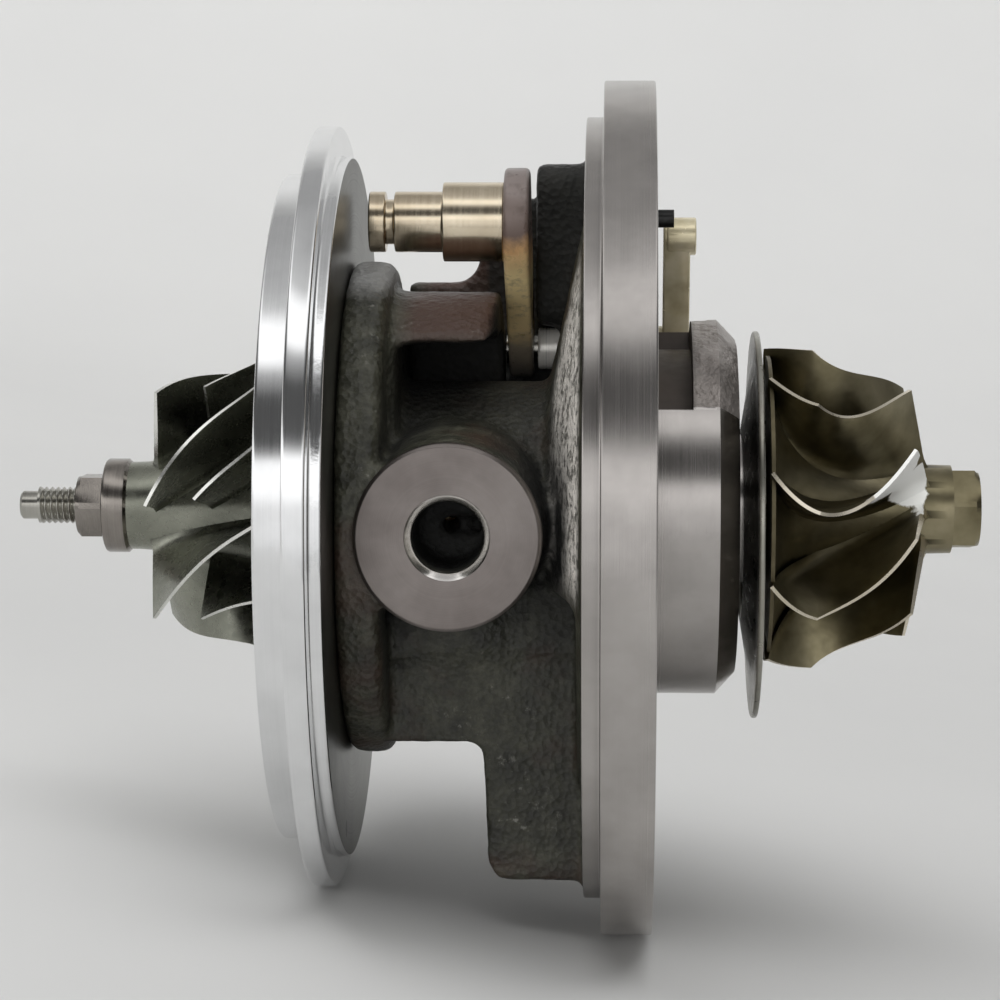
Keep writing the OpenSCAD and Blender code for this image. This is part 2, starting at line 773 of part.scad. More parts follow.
module centre_housing_cast() {
  flare_len = 3.4;
  flare_x = x_neck - flare_len;
  rib_y = crank_y + lever_end_r + 1;
  flare_in = 12;
  flare_low = 9;
  flare_rest = 0.8;
  rib_t = 5.5;
  web_low = barrel_r - 3;
  web_high = barrel_r - 8;
  pad_r = drain_r + 4.5;
  pad_end_r = drain_bolt_r + 4;
  turned([[x_face, 0], [x_face, cast_flange_r - 0.8], [x_face + 0.8, cast_flange_r],
    [x_cast - 1, cast_flange_r], [x_cast, cast_flange_r - 1], [x_cast, 0]]);
  difference() {
    turned([[x_cast - past, 0], [x_cast - past, barrel_r], [flare_x - 1.6, barrel_r], [flare_x, barrel_r + 7],
      [x_neck, step_r - flare_in], [x_neck, step_r], [x_step, step_r], [x_step, flange_r - 0.4],
      [x_step + 0.4, flange_r], [0, flange_r], [0, nose_root_r], [x_nose_step, nose_root_r],
      [x_nose_step, nose_r], [nose_len - 2.7, nose_r], [nose_len - 0.2, nose_r - 2.7],
      [nose_len, nose_r - 2.9], [nose_len, spigot_r], [x_spigot - 0.4, spigot_r],
      [x_spigot, spigot_r - 0.4], [x_spigot, 0]]);
    box([flare_x - flare_len, -flange_r, -flange_r],
      [x_neck - flare_rest, -neck_flat + lug_in + past, -flare_low]);
  }
  neck_body();
  plate_y(-neck_flat + lug_in, neck_flat - lug_in)
    lug_outline();
  plate_y(rib_y, rib_y + rib_t)
    far_wall_outline();
  box([x_lug - past, 0, -web_low], [x_neck + past, rib_y + 1, web_high]);
  plate_x(x_lever + past, x_neck + past)
    upper_lug_outline(crank_y - 9, rib_y + rib_t / 2);
  bar_x(x_bush + bush_out, x_step, crank_boss_r, crank_y, crank_z);
  bar_y(-inlet_y, -barrel_r + 8, inlet_boss_r, inlet_boss_r + 1.6, -inlet_x);
  bar_y(0, drain_y - pad_t / 2, pad_r - 1, pad_r - 1, -drain_x);
  plate_y(drain_y - pad_t, drain_y)
    pad_outline(pad_r, pad_end_r);
}

module centre_housing_cuts() {
  chamfer = 0.85;
  groove_ends = [68, 143];
  pin_floor = crank_z + lever_len * sin(lever_angle + lever_down) - pin_r - air;
  gallery = 1.25;
  gallery_start = [-inlet_x, -inlet_y + inlet_depth - 1];
  window_0 = bearing_c_x + bearing_len + 1.5;
  window_1 = bearing_t_x - 1.5;
  turned([[x_face - past, 0], [x_face - past, recess_r], [x_floor, recess_r],
    [x_floor, collar_flange_r + 1], [x_collar_rear + 0.5, collar_flange_r + 1],
    [x_collar_rear + 0.5, bore_r], [snap_c_x - side_play, bore_r], [snap_c_x - side_play, snap_r],
    [snap_c_x + snap_groove_w, snap_r], [snap_c_x + snap_groove_w, bore_r],
    [snap_t_x - side_play, bore_r], [snap_t_x - side_play, snap_r],
    [snap_t_x + snap_groove_w, snap_r], [snap_t_x + snap_groove_w, bore_r], [0.5, bore_r],
    [0.5, seal_bore_r], [x_spigot + past, seal_bore_r], [x_spigot + past, 0]]);
  screw_places()
    bar_x(x_face - past, x_cast + 1, screw_r + slip);
  thrust_pin_bars(x_floor - past, x_floor + thrust_pin_in);
  bar_x(x_bush - past, past, bush_r, crank_y, crank_z);
  bar_x(-dowel_in, past, dowel_r, 0, dowel_z);
  intersection() {
    turned([[0, nose_groove_r], [0, nose_r + past], [nose_groove_x, nose_r + past],
      [nose_groove_x, nose_groove_r]]);
    plate_x(-past, nose_groove_x + past)
      polygon(concat([[0, 0]], arc(0, 0, 2 * nose_r, groove_ends[0], groove_ends[1], 4)));
  }
  box([x_face - past, -cast_flange_r, pin_floor], [x_cast, cast_flange_r, pin_z]);
  bar_y(-inlet_y - past, -inlet_y + inlet_depth, inlet_r, inlet_r, -inlet_x);
  bar_y(-inlet_y, -inlet_y + chamfer, inlet_r + chamfer, inlet_r, -inlet_x);
  for (x_to = [bearing_c_x, bearing_t_x])
    drilling(gallery_start, [x_to + bearing_len / 2, -bearing_r + 1], gallery);
  bar_y(bearing_r + 3, drain_y + past, drain_r, drain_r, -drain_x);
  box([window_0, 0, -4], [window_1, bearing_r + 5, 4]);
  for (side = [-1, 1])
    bar_y(drain_y - pad_t + 1, drain_y + past, drain_bolt_r, drain_bolt_r, -drain_x, side * drain_pitch / 2);
}

module centre_housing() {
  color(iron)
    difference() {
      union() centre_housing_cast();
      centre_housing_cuts();
    }
}

module crank_bush() {
  color(steel)
    difference() {
      bar_x(x_bush, -0.2, bush_r, crank_y, crank_z);
      bar_x(x_bush - past, past, spindle_r + run_gap, crank_y, crank_z);
    }
}

module crank_spindle() {
  color(steel)
    bar_x(x_lever_out - 0.4, air + arm_boss_t + 0.4, spindle_r, crank_y, crank_z);
}

module crank_lever() {
  stem_r = pin_collar_r - 2.3;
  color(gold)
    difference() {
      plate_x(x_lever_out, x_lever)
        link([pin_y, pin_z], lever_head_r, [crank_y, crank_z], lever_end_r);
      bar_x(x_lever_out - past, x_lever + past, spindle_r + slip, crank_y, crank_z);
      bar_x(x_lever_out - past, x_lever + past, stem_r + slip, pin_y, pin_z);
    }
}

module actuator_pin() {
  stem_r = pin_collar_r - 2.3;
  collar_len = 8.2;
  groove_0 = 2.2;
  groove_1 = 3.4;
  groove_r = pin_r - 1.05;
  x0 = x_face + pin_gap;
  color(gold)
    translate([0, pin_y, pin_z])
      turned([[x0, 0], [x0, pin_r - 0.3], [x0 + 0.3, pin_r], [x0 + groove_0, pin_r],
        [x0 + groove_0, groove_r], [x0 + groove_1, groove_r], [x0 + groove_1, pin_r],
        [x_lever_out - collar_len, pin_r],
        [x_lever_out - collar_len, pin_collar_r], [x_lever_out, pin_collar_r], [x_lever_out, stem_r],
        [x_lever - 0.2, stem_r], [x_lever - 0.2, 0]]);
}

module vane_crank() {
  tip = [crank_y + arm_len * cos(arm_angle), crank_z + arm_len * sin(arm_angle)];
  color(nickel)
    difference() {
      union() {
        bar_x(air, air + arm_boss_t, arm_boss_r, crank_y, crank_z);
        plate_x(arm_x, arm_x + arm_t)
          link([crank_y, crank_z], arm_boss_r - 0.3, tip, arm_head_r);
        bar_x(arm_x - 0.5, arm_x + arm_t / 2, arm_head_r - 0.5, tip[0], tip[1]);
      }
      bar_x(0, air + arm_boss_t + past, spindle_r + slip, crank_y, crank_z);
    }
}

module nozzle_dowel() {
  color(iron)
    bar_x(-dowel_in, dowel_out, dowel_r, 0, dowel_z);
}

centre_housing();
compressor_backplate();
backplate_seal();
backplate_screws();
compressor_wheel();
compressor_nut();
rotor_shaft();
turbine_wheel();
thrust_collar();
oil_flinger();
thrust_bearing();
thrust_pins();
oil_deflector();
journal_bearing_compressor();
journal_bearing_turbine();
bearing_spacer();
bearing_rings();
compressor_piston_ring();
turbine_piston_ring();
heat_shield();
crank_lever();
actuator_pin();
crank_spindle();
crank_bush();
vane_crank();
nozzle_dowel();
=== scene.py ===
# %% [markdown]
# # A turbocharger cartridge
# The cartridge is the heart of a turbocharger: a cast iron bearing housing between two round flanges, with a
# turbine wheel on one end of the shaft and a compressor wheel on the other. The solids come in as a fixed frame,
# in metres, with the shaft along X and the turbine at +X. Every piece below is built where its solid already is.

# %% Load the frame
import json
import math

import bmesh
import bpy
import numpy as np
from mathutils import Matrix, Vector, noise
from mathutils.bvhtree import BVHTree


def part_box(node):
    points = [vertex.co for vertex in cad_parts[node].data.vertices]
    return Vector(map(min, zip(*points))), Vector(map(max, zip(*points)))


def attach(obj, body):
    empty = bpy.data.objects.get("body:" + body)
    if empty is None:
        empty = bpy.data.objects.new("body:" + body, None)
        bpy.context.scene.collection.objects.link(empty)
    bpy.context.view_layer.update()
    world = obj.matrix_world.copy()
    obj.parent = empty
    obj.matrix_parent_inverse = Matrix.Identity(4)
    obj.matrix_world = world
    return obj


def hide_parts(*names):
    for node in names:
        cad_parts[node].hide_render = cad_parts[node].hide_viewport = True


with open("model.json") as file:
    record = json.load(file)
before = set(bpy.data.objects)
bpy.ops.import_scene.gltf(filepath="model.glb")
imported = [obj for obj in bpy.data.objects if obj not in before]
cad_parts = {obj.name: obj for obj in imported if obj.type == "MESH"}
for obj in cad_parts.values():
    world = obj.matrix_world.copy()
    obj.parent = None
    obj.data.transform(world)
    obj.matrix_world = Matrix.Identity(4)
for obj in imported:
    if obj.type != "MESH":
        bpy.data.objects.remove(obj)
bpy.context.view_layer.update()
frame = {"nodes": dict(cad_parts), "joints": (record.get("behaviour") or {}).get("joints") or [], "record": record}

MM = 0.001
nodes = frame["nodes"]
mounts = {mount["name"]: mount for mount in frame["record"]["mounts"]}
joints = {joint["name"]: joint for joint in frame["joints"]}
print("pieces in the frame:", len(nodes))

# %% [markdown]
# ## Sizes
# A turned part is known by its stations along the shaft and its radii. Most of them can be read off the boxes of
# the solids and off the mounts, so that the looks follow the solids. The few that no box gives are named here.

# %% Stations along the shaft, in millimetres


def span(node, axis=0):
    """Lowest and highest place of a node along an axis, in millimetres."""
    low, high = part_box(node)
    return low[axis] / MM, high[axis] / MM


def mount_r(name):
    return mounts[name]["dims"]["r_mm"]


x_face, x_spigot = span("centre_housing")
x_front = span("compressor_backplate")[0]
x_comp_nose, x_wheel_back = span("compressor_wheel")
x_nut_hex, nut_rear = span("compressor_nut")
x_tip, x_weld = span("rotor_shaft")
x_hex_end = span("turbine_wheel")[1]
x_lever_out, x_lever = span("crank_lever")
x_pin_end, pin_rear = span("actuator_pin")
flange_r = mount_r("turbine_flange_rim")
register_r = mount_r("compressor_register")
nose_r = 24.9
x_step, x_neck = -6.7, -9.0
x_register, x_rim = -44.7, -41.8
step_r, rim_r, rear_step_r = 52.2, 51.0, 47.0
print("flange radius", flange_r, "and length", round(x_hex_end - x_tip, 1))

# %% [markdown]
# ## Camera
# The photo was taken with a long lens, a little above the shaft and a little to the right. A long lens keeps
# the round rims nearly straight, so the focal length matters as much as the angle.

# %% Camera
VIEW_TURN = math.radians(2.3)
VIEW_RISE = math.radians(6.7)
VIEW_DISTANCE = 405 * MM
LENS_PIXELS = 3000
PHOTO_PIXELS = 1000
SENSOR_MM = 36
aim = Vector((-20.6 * MM, 0, 0.95 * MM))

camera_data = bpy.data.cameras.new("camera")
camera_data.sensor_width = SENSOR_MM
camera_data.lens = SENSOR_MM * LENS_PIXELS / PHOTO_PIXELS
camera_data.clip_start = 0.01
camera = bpy.data.objects.new("camera", camera_data)
back = Vector((
    math.sin(VIEW_TURN) * math.cos(VIEW_RISE),
    -math.cos(VIEW_TURN) * math.cos(VIEW_RISE),
    math.sin(VIEW_RISE),
))
camera.location = aim + back * VIEW_DISTANCE
camera.rotation_euler = (-back).to_track_quat("-Z", "Y").to_euler()
bpy.context.scene.collection.objects.link(camera)
bpy.context.scene.camera = camera
print("lens", round(camera_data.lens), "mm")

# %% [markdown]
# ## Floor and light
# The cartridge lies on two rims of different size, so the table is tilted a little in the part's own frame.
# Polished metal shows its surroundings more than its own colour. The studio round it therefore has bands: a wide
# soft box high in front, a narrow bright strip just above the camera, and darkness between the two. They give the
# turned rims the same white and grey bands as in the photo. The lamps only light what isn't polished.

# %% Helpers for node trees


def add(tree, kind, inputs=None, **settings):
    """A new node, with its settings and its inputs given as values or as sockets to link from."""
    node = tree.nodes.new(kind)
    for name, value in settings.items():
        setattr(node, name, value)
    for name, value in (inputs or {}).items():
        if isinstance(value, bpy.types.NodeSocket):
            tree.links.new(value, node.inputs[name])
        else:
            node.inputs[name].default_value = value
    return node


def new_finish(name, constants):
    """An empty material: its node tree and its shader, with the constant sockets set."""
    material = bpy.data.materials.new(name)
    material.use_nodes = True
    shader = material.node_tree.nodes["Principled BSDF"]
    for socket, value in constants.items():
        shader.inputs[socket].default_value = value
    return material, material.node_tree, shader


def rgb(r, g, b):
    return (r, g, b, 1.0)


def grey(tone):
    return rgb(tone, tone, tone)


# %% Helpers for colours and patterns


def object_place(tree):
    """Place on a piece, in the part's frame at rest, so that a pattern moves with its piece."""
    return add(tree, "ShaderNodeTexCoord").outputs["Object"]


def ramp(tree, factor, stops):
    """A colour ramp from (place, colour) pairs."""
    node = add(tree, "ShaderNodeValToRGB", {"Fac": factor})
    elements = node.color_ramp.elements
    while len(elements) < len(stops):
        elements.new(1.0)
    for element, (place, colour) in zip(elements, stops):
        element.position = place
        element.color = rgb(*colour[:3])
    return node.outputs["Color"]


def remap(tree, value, low, high, new_low=0.0, new_high=1.0):
    """A value carried over from one range to another, and held at the ends."""
    node = add(tree, "ShaderNodeMapRange", {
        "Value": value, "From Min": low, "From Max": high, "To Min": new_low, "To Max": new_high})
    return node.outputs["Result"]


def blend(tree, factor, first, second):
    """A colour between two colours."""
    node = add(tree, "ShaderNodeMix", {"Factor": factor, 6: first, 7: second}, data_type="RGBA")
    return node.outputs[2]


def speckle(tree, place, scale, detail=4.0, roughness=0.6):
    """Cloudy noise."""
    node = add(tree, "ShaderNodeTexNoise", {
        "Vector": place, "Scale": scale, "Detail": detail, "Roughness": roughness})
    return node.outputs["Fac"]


# %% Studio round the part
BANDS = [
    (-90, 0.18), (-30, 0.28), (-14, 0.40), (-9, 0.50), (-4, 0.66), (6, 0.66), (10, 0.95), (20.5, 0.95), (23, 0.25),
    (26, 0.06), (42, 0.06), (50, 0.35), (54, 0.95), (66, 0.95), (72, 0.45), (90, 0.30)]
STUDIO_POWER, PALE = 1.4, 0.66
BACK_TONE, BACK_EDGE = 0.28, (-0.2, 0.3)
RIGHT_TONE, RIGHT_EDGE, RIGHT_SHARE = 0.03, (0.45, 0.85), 0.75
QUARTER_TURN = math.pi / 2
scene = bpy.context.scene
scene.view_settings.view_transform = "Standard"

world = bpy.data.worlds.new("studio")
world.use_nodes = True
sky = world.node_tree
way = add(sky, "ShaderNodeTexCoord").outputs["Generated"]
heading = add(sky, "ShaderNodeSeparateXYZ", {"Vector": way}).outputs
rise = add(sky, "ShaderNodeMath", {0: heading["Z"]}, operation="ARCSINE").outputs["Value"]
band = ramp(sky, remap(sky, rise, -QUARTER_TURN, QUARTER_TURN),
            [((degrees + 90) / 180, grey(tone)) for degrees, tone in BANDS])
round_part = blend(sky, remap(sky, heading["Y"], *BACK_EDGE), band, grey(BACK_TONE))
to_right = remap(sky, heading["X"], *RIGHT_EDGE, 0.0, RIGHT_SHARE)
dim_right = blend(sky, to_right, round_part, grey(RIGHT_TONE))
seen = add(sky, "ShaderNodeLightPath").outputs["Is Camera Ray"]
studio = blend(sky, seen, dim_right, grey(PALE / STUDIO_POWER))
background = sky.nodes["Background"]
sky.links.new(studio, background.inputs["Color"])
background.inputs["Strength"].default_value = STUDIO_POWER
scene.world = world
print("bands in the studio:", len(BANDS))

# %% Paper sweep
SWEEP_HALF, SWEEP_FRONT, SWEEP_BEND, SWEEP_R, SWEEP_TOP = 1.6, -0.33, 0.55, 0.45, 1.5
SWEEP_GAP, BEND_STEPS = 0.05, 25
floor_tilt = math.atan2(flange_r - rim_r, x_step - x_rim)

paper_finish, paper_tree, paper_shader = new_finish("pale_paper", {"Roughness": 0.7})
paper_noise = speckle(paper_tree, object_place(paper_tree), 9.0, 3.0, 0.5)
paper_tone = ramp(paper_tree, paper_noise, [(0.0, (0.63, 0.63, 0.625)), (1.0, (0.68, 0.68, 0.67))])
paper_tree.links.new(paper_tone, paper_shader.inputs["Base Color"])

bend = [(SWEEP_BEND + SWEEP_R * math.sin(a), SWEEP_R * (1 - math.cos(a)))
        for a in np.linspace(0, QUARTER_TURN, BEND_STEPS)]
line = [(SWEEP_FRONT, 0)] + bend + [(SWEEP_BEND + SWEEP_R, SWEEP_TOP)]
paper_points = [(x, y, z) for y, z in line for x in (-SWEEP_HALF, SWEEP_HALF)]
paper_faces = [(2 * i, 2 * i + 1, 2 * i + 3, 2 * i + 2) for i in range(len(line) - 1)]
paper_mesh = bpy.data.meshes.new("paper_sweep")
paper_mesh.from_pydata(paper_points, [], paper_faces)
paper_mesh.materials.append(paper_finish)
paper_mesh.polygons.foreach_set("use_smooth", [True] * len(paper_mesh.polygons))
paper = bpy.data.objects.new("paper_sweep", paper_mesh)
paper.rotation_euler = (0, floor_tilt, 0)
paper.location = (x_step * MM, 0, -(flange_r + SWEEP_GAP) * MM)
scene.collection.objects.link(paper)
print("floor tilt", round(math.degrees(floor_tilt), 1), "degrees")

# %% Lamps


def soft_box(name, spot, target, width, height, power):
    """A flat lamp that faces a target and doesn't show in polished metal."""
    light = bpy.data.lights.new(name, "AREA")
    light.shape = "RECTANGLE"
    light.size = width
    light.size_y = height
    light.energy = power
    lamp = bpy.data.objects.new(name, light)
    lamp.location = spot
    lamp.rotation_euler = (target - spot).to_track_quat("-Z", "Y").to_euler()
    lamp.visible_glossy = False
    lamp.visible_camera = False
    scene.collection.objects.link(lamp)


def around(turn, rise, distance):
    """A place round the part: turn 0 is on the photo's side, and rise is above the horizon, in degrees."""
    t, e = math.radians(turn), math.radians(rise)
    return aim + distance * Vector((math.sin(t) * math.cos(e), -math.cos(t) * math.cos(e), math.sin(e)))


soft_box("top_box", around(-15, 70, 0.75), aim, 0.8, 0.4, 1.5)
soft_box("paper_box", around(0, 74, 1.1), aim, 1.4, 0.8, 4.0)
soft_box("fill_box", around(-20, 3, 0.6), aim, 0.5, 0.3, 1.2)
soft_box("wall_box", Vector((aim.x, 0.42, 0.75)), Vector((aim.x, 1.0, 0.5)), 1.8, 0.4, 3.4)
print("lamps", len(bpy.data.lights))

# %% [markdown]
# ## Finishes
# Nearly everything here is metal, and what tells the metals apart is how they were worked. A turned surface has
# fine rings about its axis, a casting has a sandy skin, and a heated part has oxide colours.

# %% Helpers for finishes


def axial(tree, centre=(0, 0, 0), axis="X"):
    """Place in the part's frame, its three parts, and the distance from an axis through a centre, as sockets."""
    moved = add(tree, "ShaderNodeVectorMath", {0: object_place(tree), 1: tuple(centre)}, operation="SUBTRACT")
    parts = add(tree, "ShaderNodeSeparateXYZ", {"Vector": moved.outputs["Vector"]}).outputs
    flat = {name: parts[name] for name in "XYZ" if name != axis}
    across = add(tree, "ShaderNodeCombineXYZ", flat)
    radius = add(tree, "ShaderNodeVectorMath", {0: across.outputs["Vector"]}, operation="LENGTH")
    return moved.outputs["Vector"], parts, radius.outputs["Value"]


def product(tree, *factors):
    """Several factors multiplied with one another."""
    made = factors[0]
    for factor in factors[1:]:
        made = add(tree, "ShaderNodeMath", {0: made, 1: factor}, operation="MULTIPLY").outputs["Value"]
    return made


def scaled(tree, value, factor, offset):
    """A value times a factor, plus an offset."""
    return add(tree, "ShaderNodeMath", {0: value, 1: factor, 2: offset}, operation="MULTIPLY_ADD").outputs["Value"]


def higher(tree, first, second):
    """The higher of two values."""
    return add(tree, "ShaderNodeMath", {0: first, 1: second}, operation="MAXIMUM").outputs["Value"]


def distance_from(tree, place, spot):
    return add(tree, "ShaderNodeVectorMath", {0: place, 1: spot}, operation="DISTANCE").outputs["Value"]


# The stored share is painted shade in every finish that reads it.
def closed_in(tree):
    """How closed in a point is, as its mesh stores it. A mesh that stores nothing reads as open."""
    return add(tree, "ShaderNodeAttribute", attribute_name="grime").outputs["Fac"]


def roughen(tree, shader, height, strength, depth_mm):
    """Bumps a surface by a height socket."""
    bump = add(tree, "ShaderNodeBump", {"Height": height, "Strength": strength, "Distance": depth_mm * MM})
    tree.links.new(bump.outputs["Normal"], shader.inputs["Normal"])


# %% Turned metal
RING_SHARE, CLOUD_SHARE = 0.45, 0.55
NICK_SCALE, NICK_SHARE = 700.0, 9.0
HOLE_EDGE, HOLE_SHADE_BLACK = 0.85, grey(0.003)


def turned_metal(name, light, dark, roughness=0.28, spread=0.12, ring_mm=0.16, depth=0.12, centre=(0, 0, 0),
                 axis="X", scratched=None, hole=None, metal=1.0):
    """Metal from a lathe: rings about an axis, a soft change of tone and a change of gloss from ring to ring, and
    painted shade where the mesh is closed in. scratched is a range along X where nicks begin, and hole is the place
    and radius of a blind hole that is painted black as its shade."""
    material, tree, shader = new_finish(name, {"Metallic": metal})
    place, parts, radius = axial(tree, centre, axis)
    rings = add(tree, "ShaderNodeCombineXYZ", {"X": parts[axis], "Y": radius}).outputs["Vector"]
    fine = speckle(tree, rings, 1 / (ring_mm * MM), 3.0)
    cloud = speckle(tree, place, 90.0)
    tone = scaled(tree, fine, RING_SHARE, remap(tree, cloud, 0.3, 0.7, 0.0, CLOUD_SHARE))
    colour = ramp(tree, tone, [(0.2, dark), (0.75, light)])
    hollow_shade = rgb(*[0.1 * c for c in dark])
    # Painted shade: the colour goes darker where the mesh is closed in.
    colour = blend(tree, remap(tree, closed_in(tree), 0.35, 0.8, 0.0, 0.9), colour, hollow_shade)
    # Painted shade: a blind hole is a black disc in the colour, not a hole in the mesh.
    if hole:
        spot, hole_r = hole
        hole_shade = remap(tree, distance_from(tree, place, spot), hole_r, HOLE_EDGE * hole_r)
        colour = blend(tree, hole_shade, colour, HOLE_SHADE_BLACK)
    tree.links.new(colour, shader.inputs["Base Color"])
    gloss = remap(tree, fine, 0.3, 0.7, roughness - spread / 2, roughness + spread / 2)
    tree.links.new(gloss, shader.inputs["Roughness"])
    height = fine
    if scratched:
        nicks = product(tree, speckle(tree, place, NICK_SCALE), remap(tree, parts["X"], *scratched))
        height = scaled(tree, nicks, NICK_SHARE, fine)
    roughen(tree, shader, height, depth, 0.05)
    return material


# %% Turned finishes
HOLE_TURN, HOLE_INSET, HOLE_R = math.radians(249), 3.2, 1.2
NICKED = (-42.0 * MM, -41.6 * MM)
pivot = joints["crank_turn"]["pos_m"]
inlet = mounts["oil_inlet"]
pin_low, pin_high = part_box("actuator_pin")
pin_centre = (pin_low + pin_high) / 2
# Painted shade: the blind hole in the rear face of the backplate is drawn as a black disc in its colour.
hole_away = (rear_step_r - HOLE_INSET) * MM
blind_hole_shade = ((x_face * MM, hole_away * math.cos(HOLE_TURN), hole_away * math.sin(HOLE_TURN)), HOLE_R * MM)
plate_finish = turned_metal("turned_aluminium", (0.85, 0.855, 0.86), (0.73, 0.735, 0.74), 0.12, 0.06, 0.25, 0.05,
                            scratched=NICKED)
# Painted shade and reflection: the rear face is the same turned aluminium, coloured dark grey for the shade it lies in
# and the dark housing it mirrors.
plate_rear_shaded = turned_metal("backplate_rear", (0.16, 0.16, 0.145), (0.09, 0.09, 0.08), 0.36, 0.1, 0.3, 0.1,
                                 hole=blind_hole_shade)
rim_finish = turned_metal("satin_rim", (0.48, 0.455, 0.435), (0.36, 0.34, 0.325), 0.23, 0.10, 0.14, 0.10)
boss_finish = turned_metal("milled_boss", (0.31, 0.28, 0.265), (0.195, 0.17, 0.16), 0.42, 0.12, 0.2, 0.3,
                           inlet["pos_m"], "Y")
steel_finish = turned_metal("ground_steel", (0.50, 0.49, 0.45), (0.30, 0.29, 0.26), 0.22, 0.1, 0.12, 0.1)
nut_finish = turned_metal("nut_steel", (0.36, 0.33, 0.30), (0.18, 0.165, 0.15), 0.2, 0.12, 0.2, 0.2)
bush_finish = turned_metal("polished_bush", (0.95, 0.92, 0.86), (0.85, 0.82, 0.76), 0.3, 0.1, 0.2, 0.05, pivot,
                           metal=0.3)
# Painted highlight: the mouth and the top of the tapped bore are the same machined iron as the boss face, coloured
# much lighter.
mouth_highlight_finish = turned_metal("bright_mouth", (0.8, 0.78, 0.75), (0.5, 0.48, 0.46), 0.16, 0.08, 0.3, 0.3,
                            inlet["pos_m"], "Y")
brass_finish = turned_metal("gold_pin", (0.80, 0.70, 0.54), (0.58, 0.48, 0.34), 0.2, 0.12, 0.25, 0.12, pin_centre)
bronze_finish = turned_metal("bearing_bronze", (0.66, 0.44, 0.2), (0.5, 0.32, 0.13), 0.3, 0.1, 0.15, 0.1)
print("turned finishes made")

# %% [markdown]
# ### Cast iron
# The housing is a sand casting that has been oiled, heated and wiped. A photo texture could carry all this, but it
# would have to be unwrapped. Here the skin is made from noises at four scales, and soft boxes in the part's frame
# say where it is rusty, where it is lighter grey on top, and where the flare is bright, partly from wear and partly
# as a painted sheen. Painted sparkles speckle the skin, and painted shade darkens the pocket and the face behind the
# lever. The meshes also store how closed in each point is, so that painted shade, partly oil stains, gathers in the
# hollows.

# %% Oily cast iron
IRON = [(0.36, (0.014, 0.014, 0.009)), (0.5, (0.036, 0.036, 0.025)), (0.66, (0.080, 0.079, 0.058))]
RUST, PAINTED_SPARKLE, LIGHTER_GREY = rgb(0.056, 0.027, 0.020), rgb(0.45, 0.44, 0.39), rgb(0.24, 0.24, 0.235)
BRIGHT_WEAR_AND_SHEEN, SHADE_AND_OIL_BLACK = rgb(0.80, 0.76, 0.70), rgb(0.024, 0.024, 0.023)
RUSTY_WALL = {"X": (-34, -31, -21, -19), "Z": (21, 25, 60, 61)}
TOP_OF_FLANGE = {"X": (-50, -49, -34.5, -33.5), "Z": (28.5, 31, 60, 61)}
FLARE = {"X": (-13.8, -12.6, -9.9, -9.4), "Y": (-60, -59, -16, -8), "Z": (-9, -4, 30, 38)}
# Painted shade: the pocket and the face behind the lever are darkened where shade falls on them.
POCKET_SHADE = {"X": (-34.5, -33, -14.5, -13), "Y": (-16, -13, 60, 61), "Z": (8, 14, 19, 27)}
SHADE_BEHIND_LEVER = {"X": (-24, -23, -9.5, -8.5), "Y": (-2, 2, 60, 61), "Z": (22, 25, 60, 61)}

def zone(tree, parts, limits, most):
    """A soft box in the part's frame: each axis has two places where it fades in and two where it fades out."""
    made = most
    for axis, (start, full, last, end) in limits.items():
        fade_in = remap(tree, parts[axis], start * MM, full * MM)
        fade_out = remap(tree, parts[axis], end * MM, last * MM)
        made = product(tree, fade_in, fade_out, made)
    return made


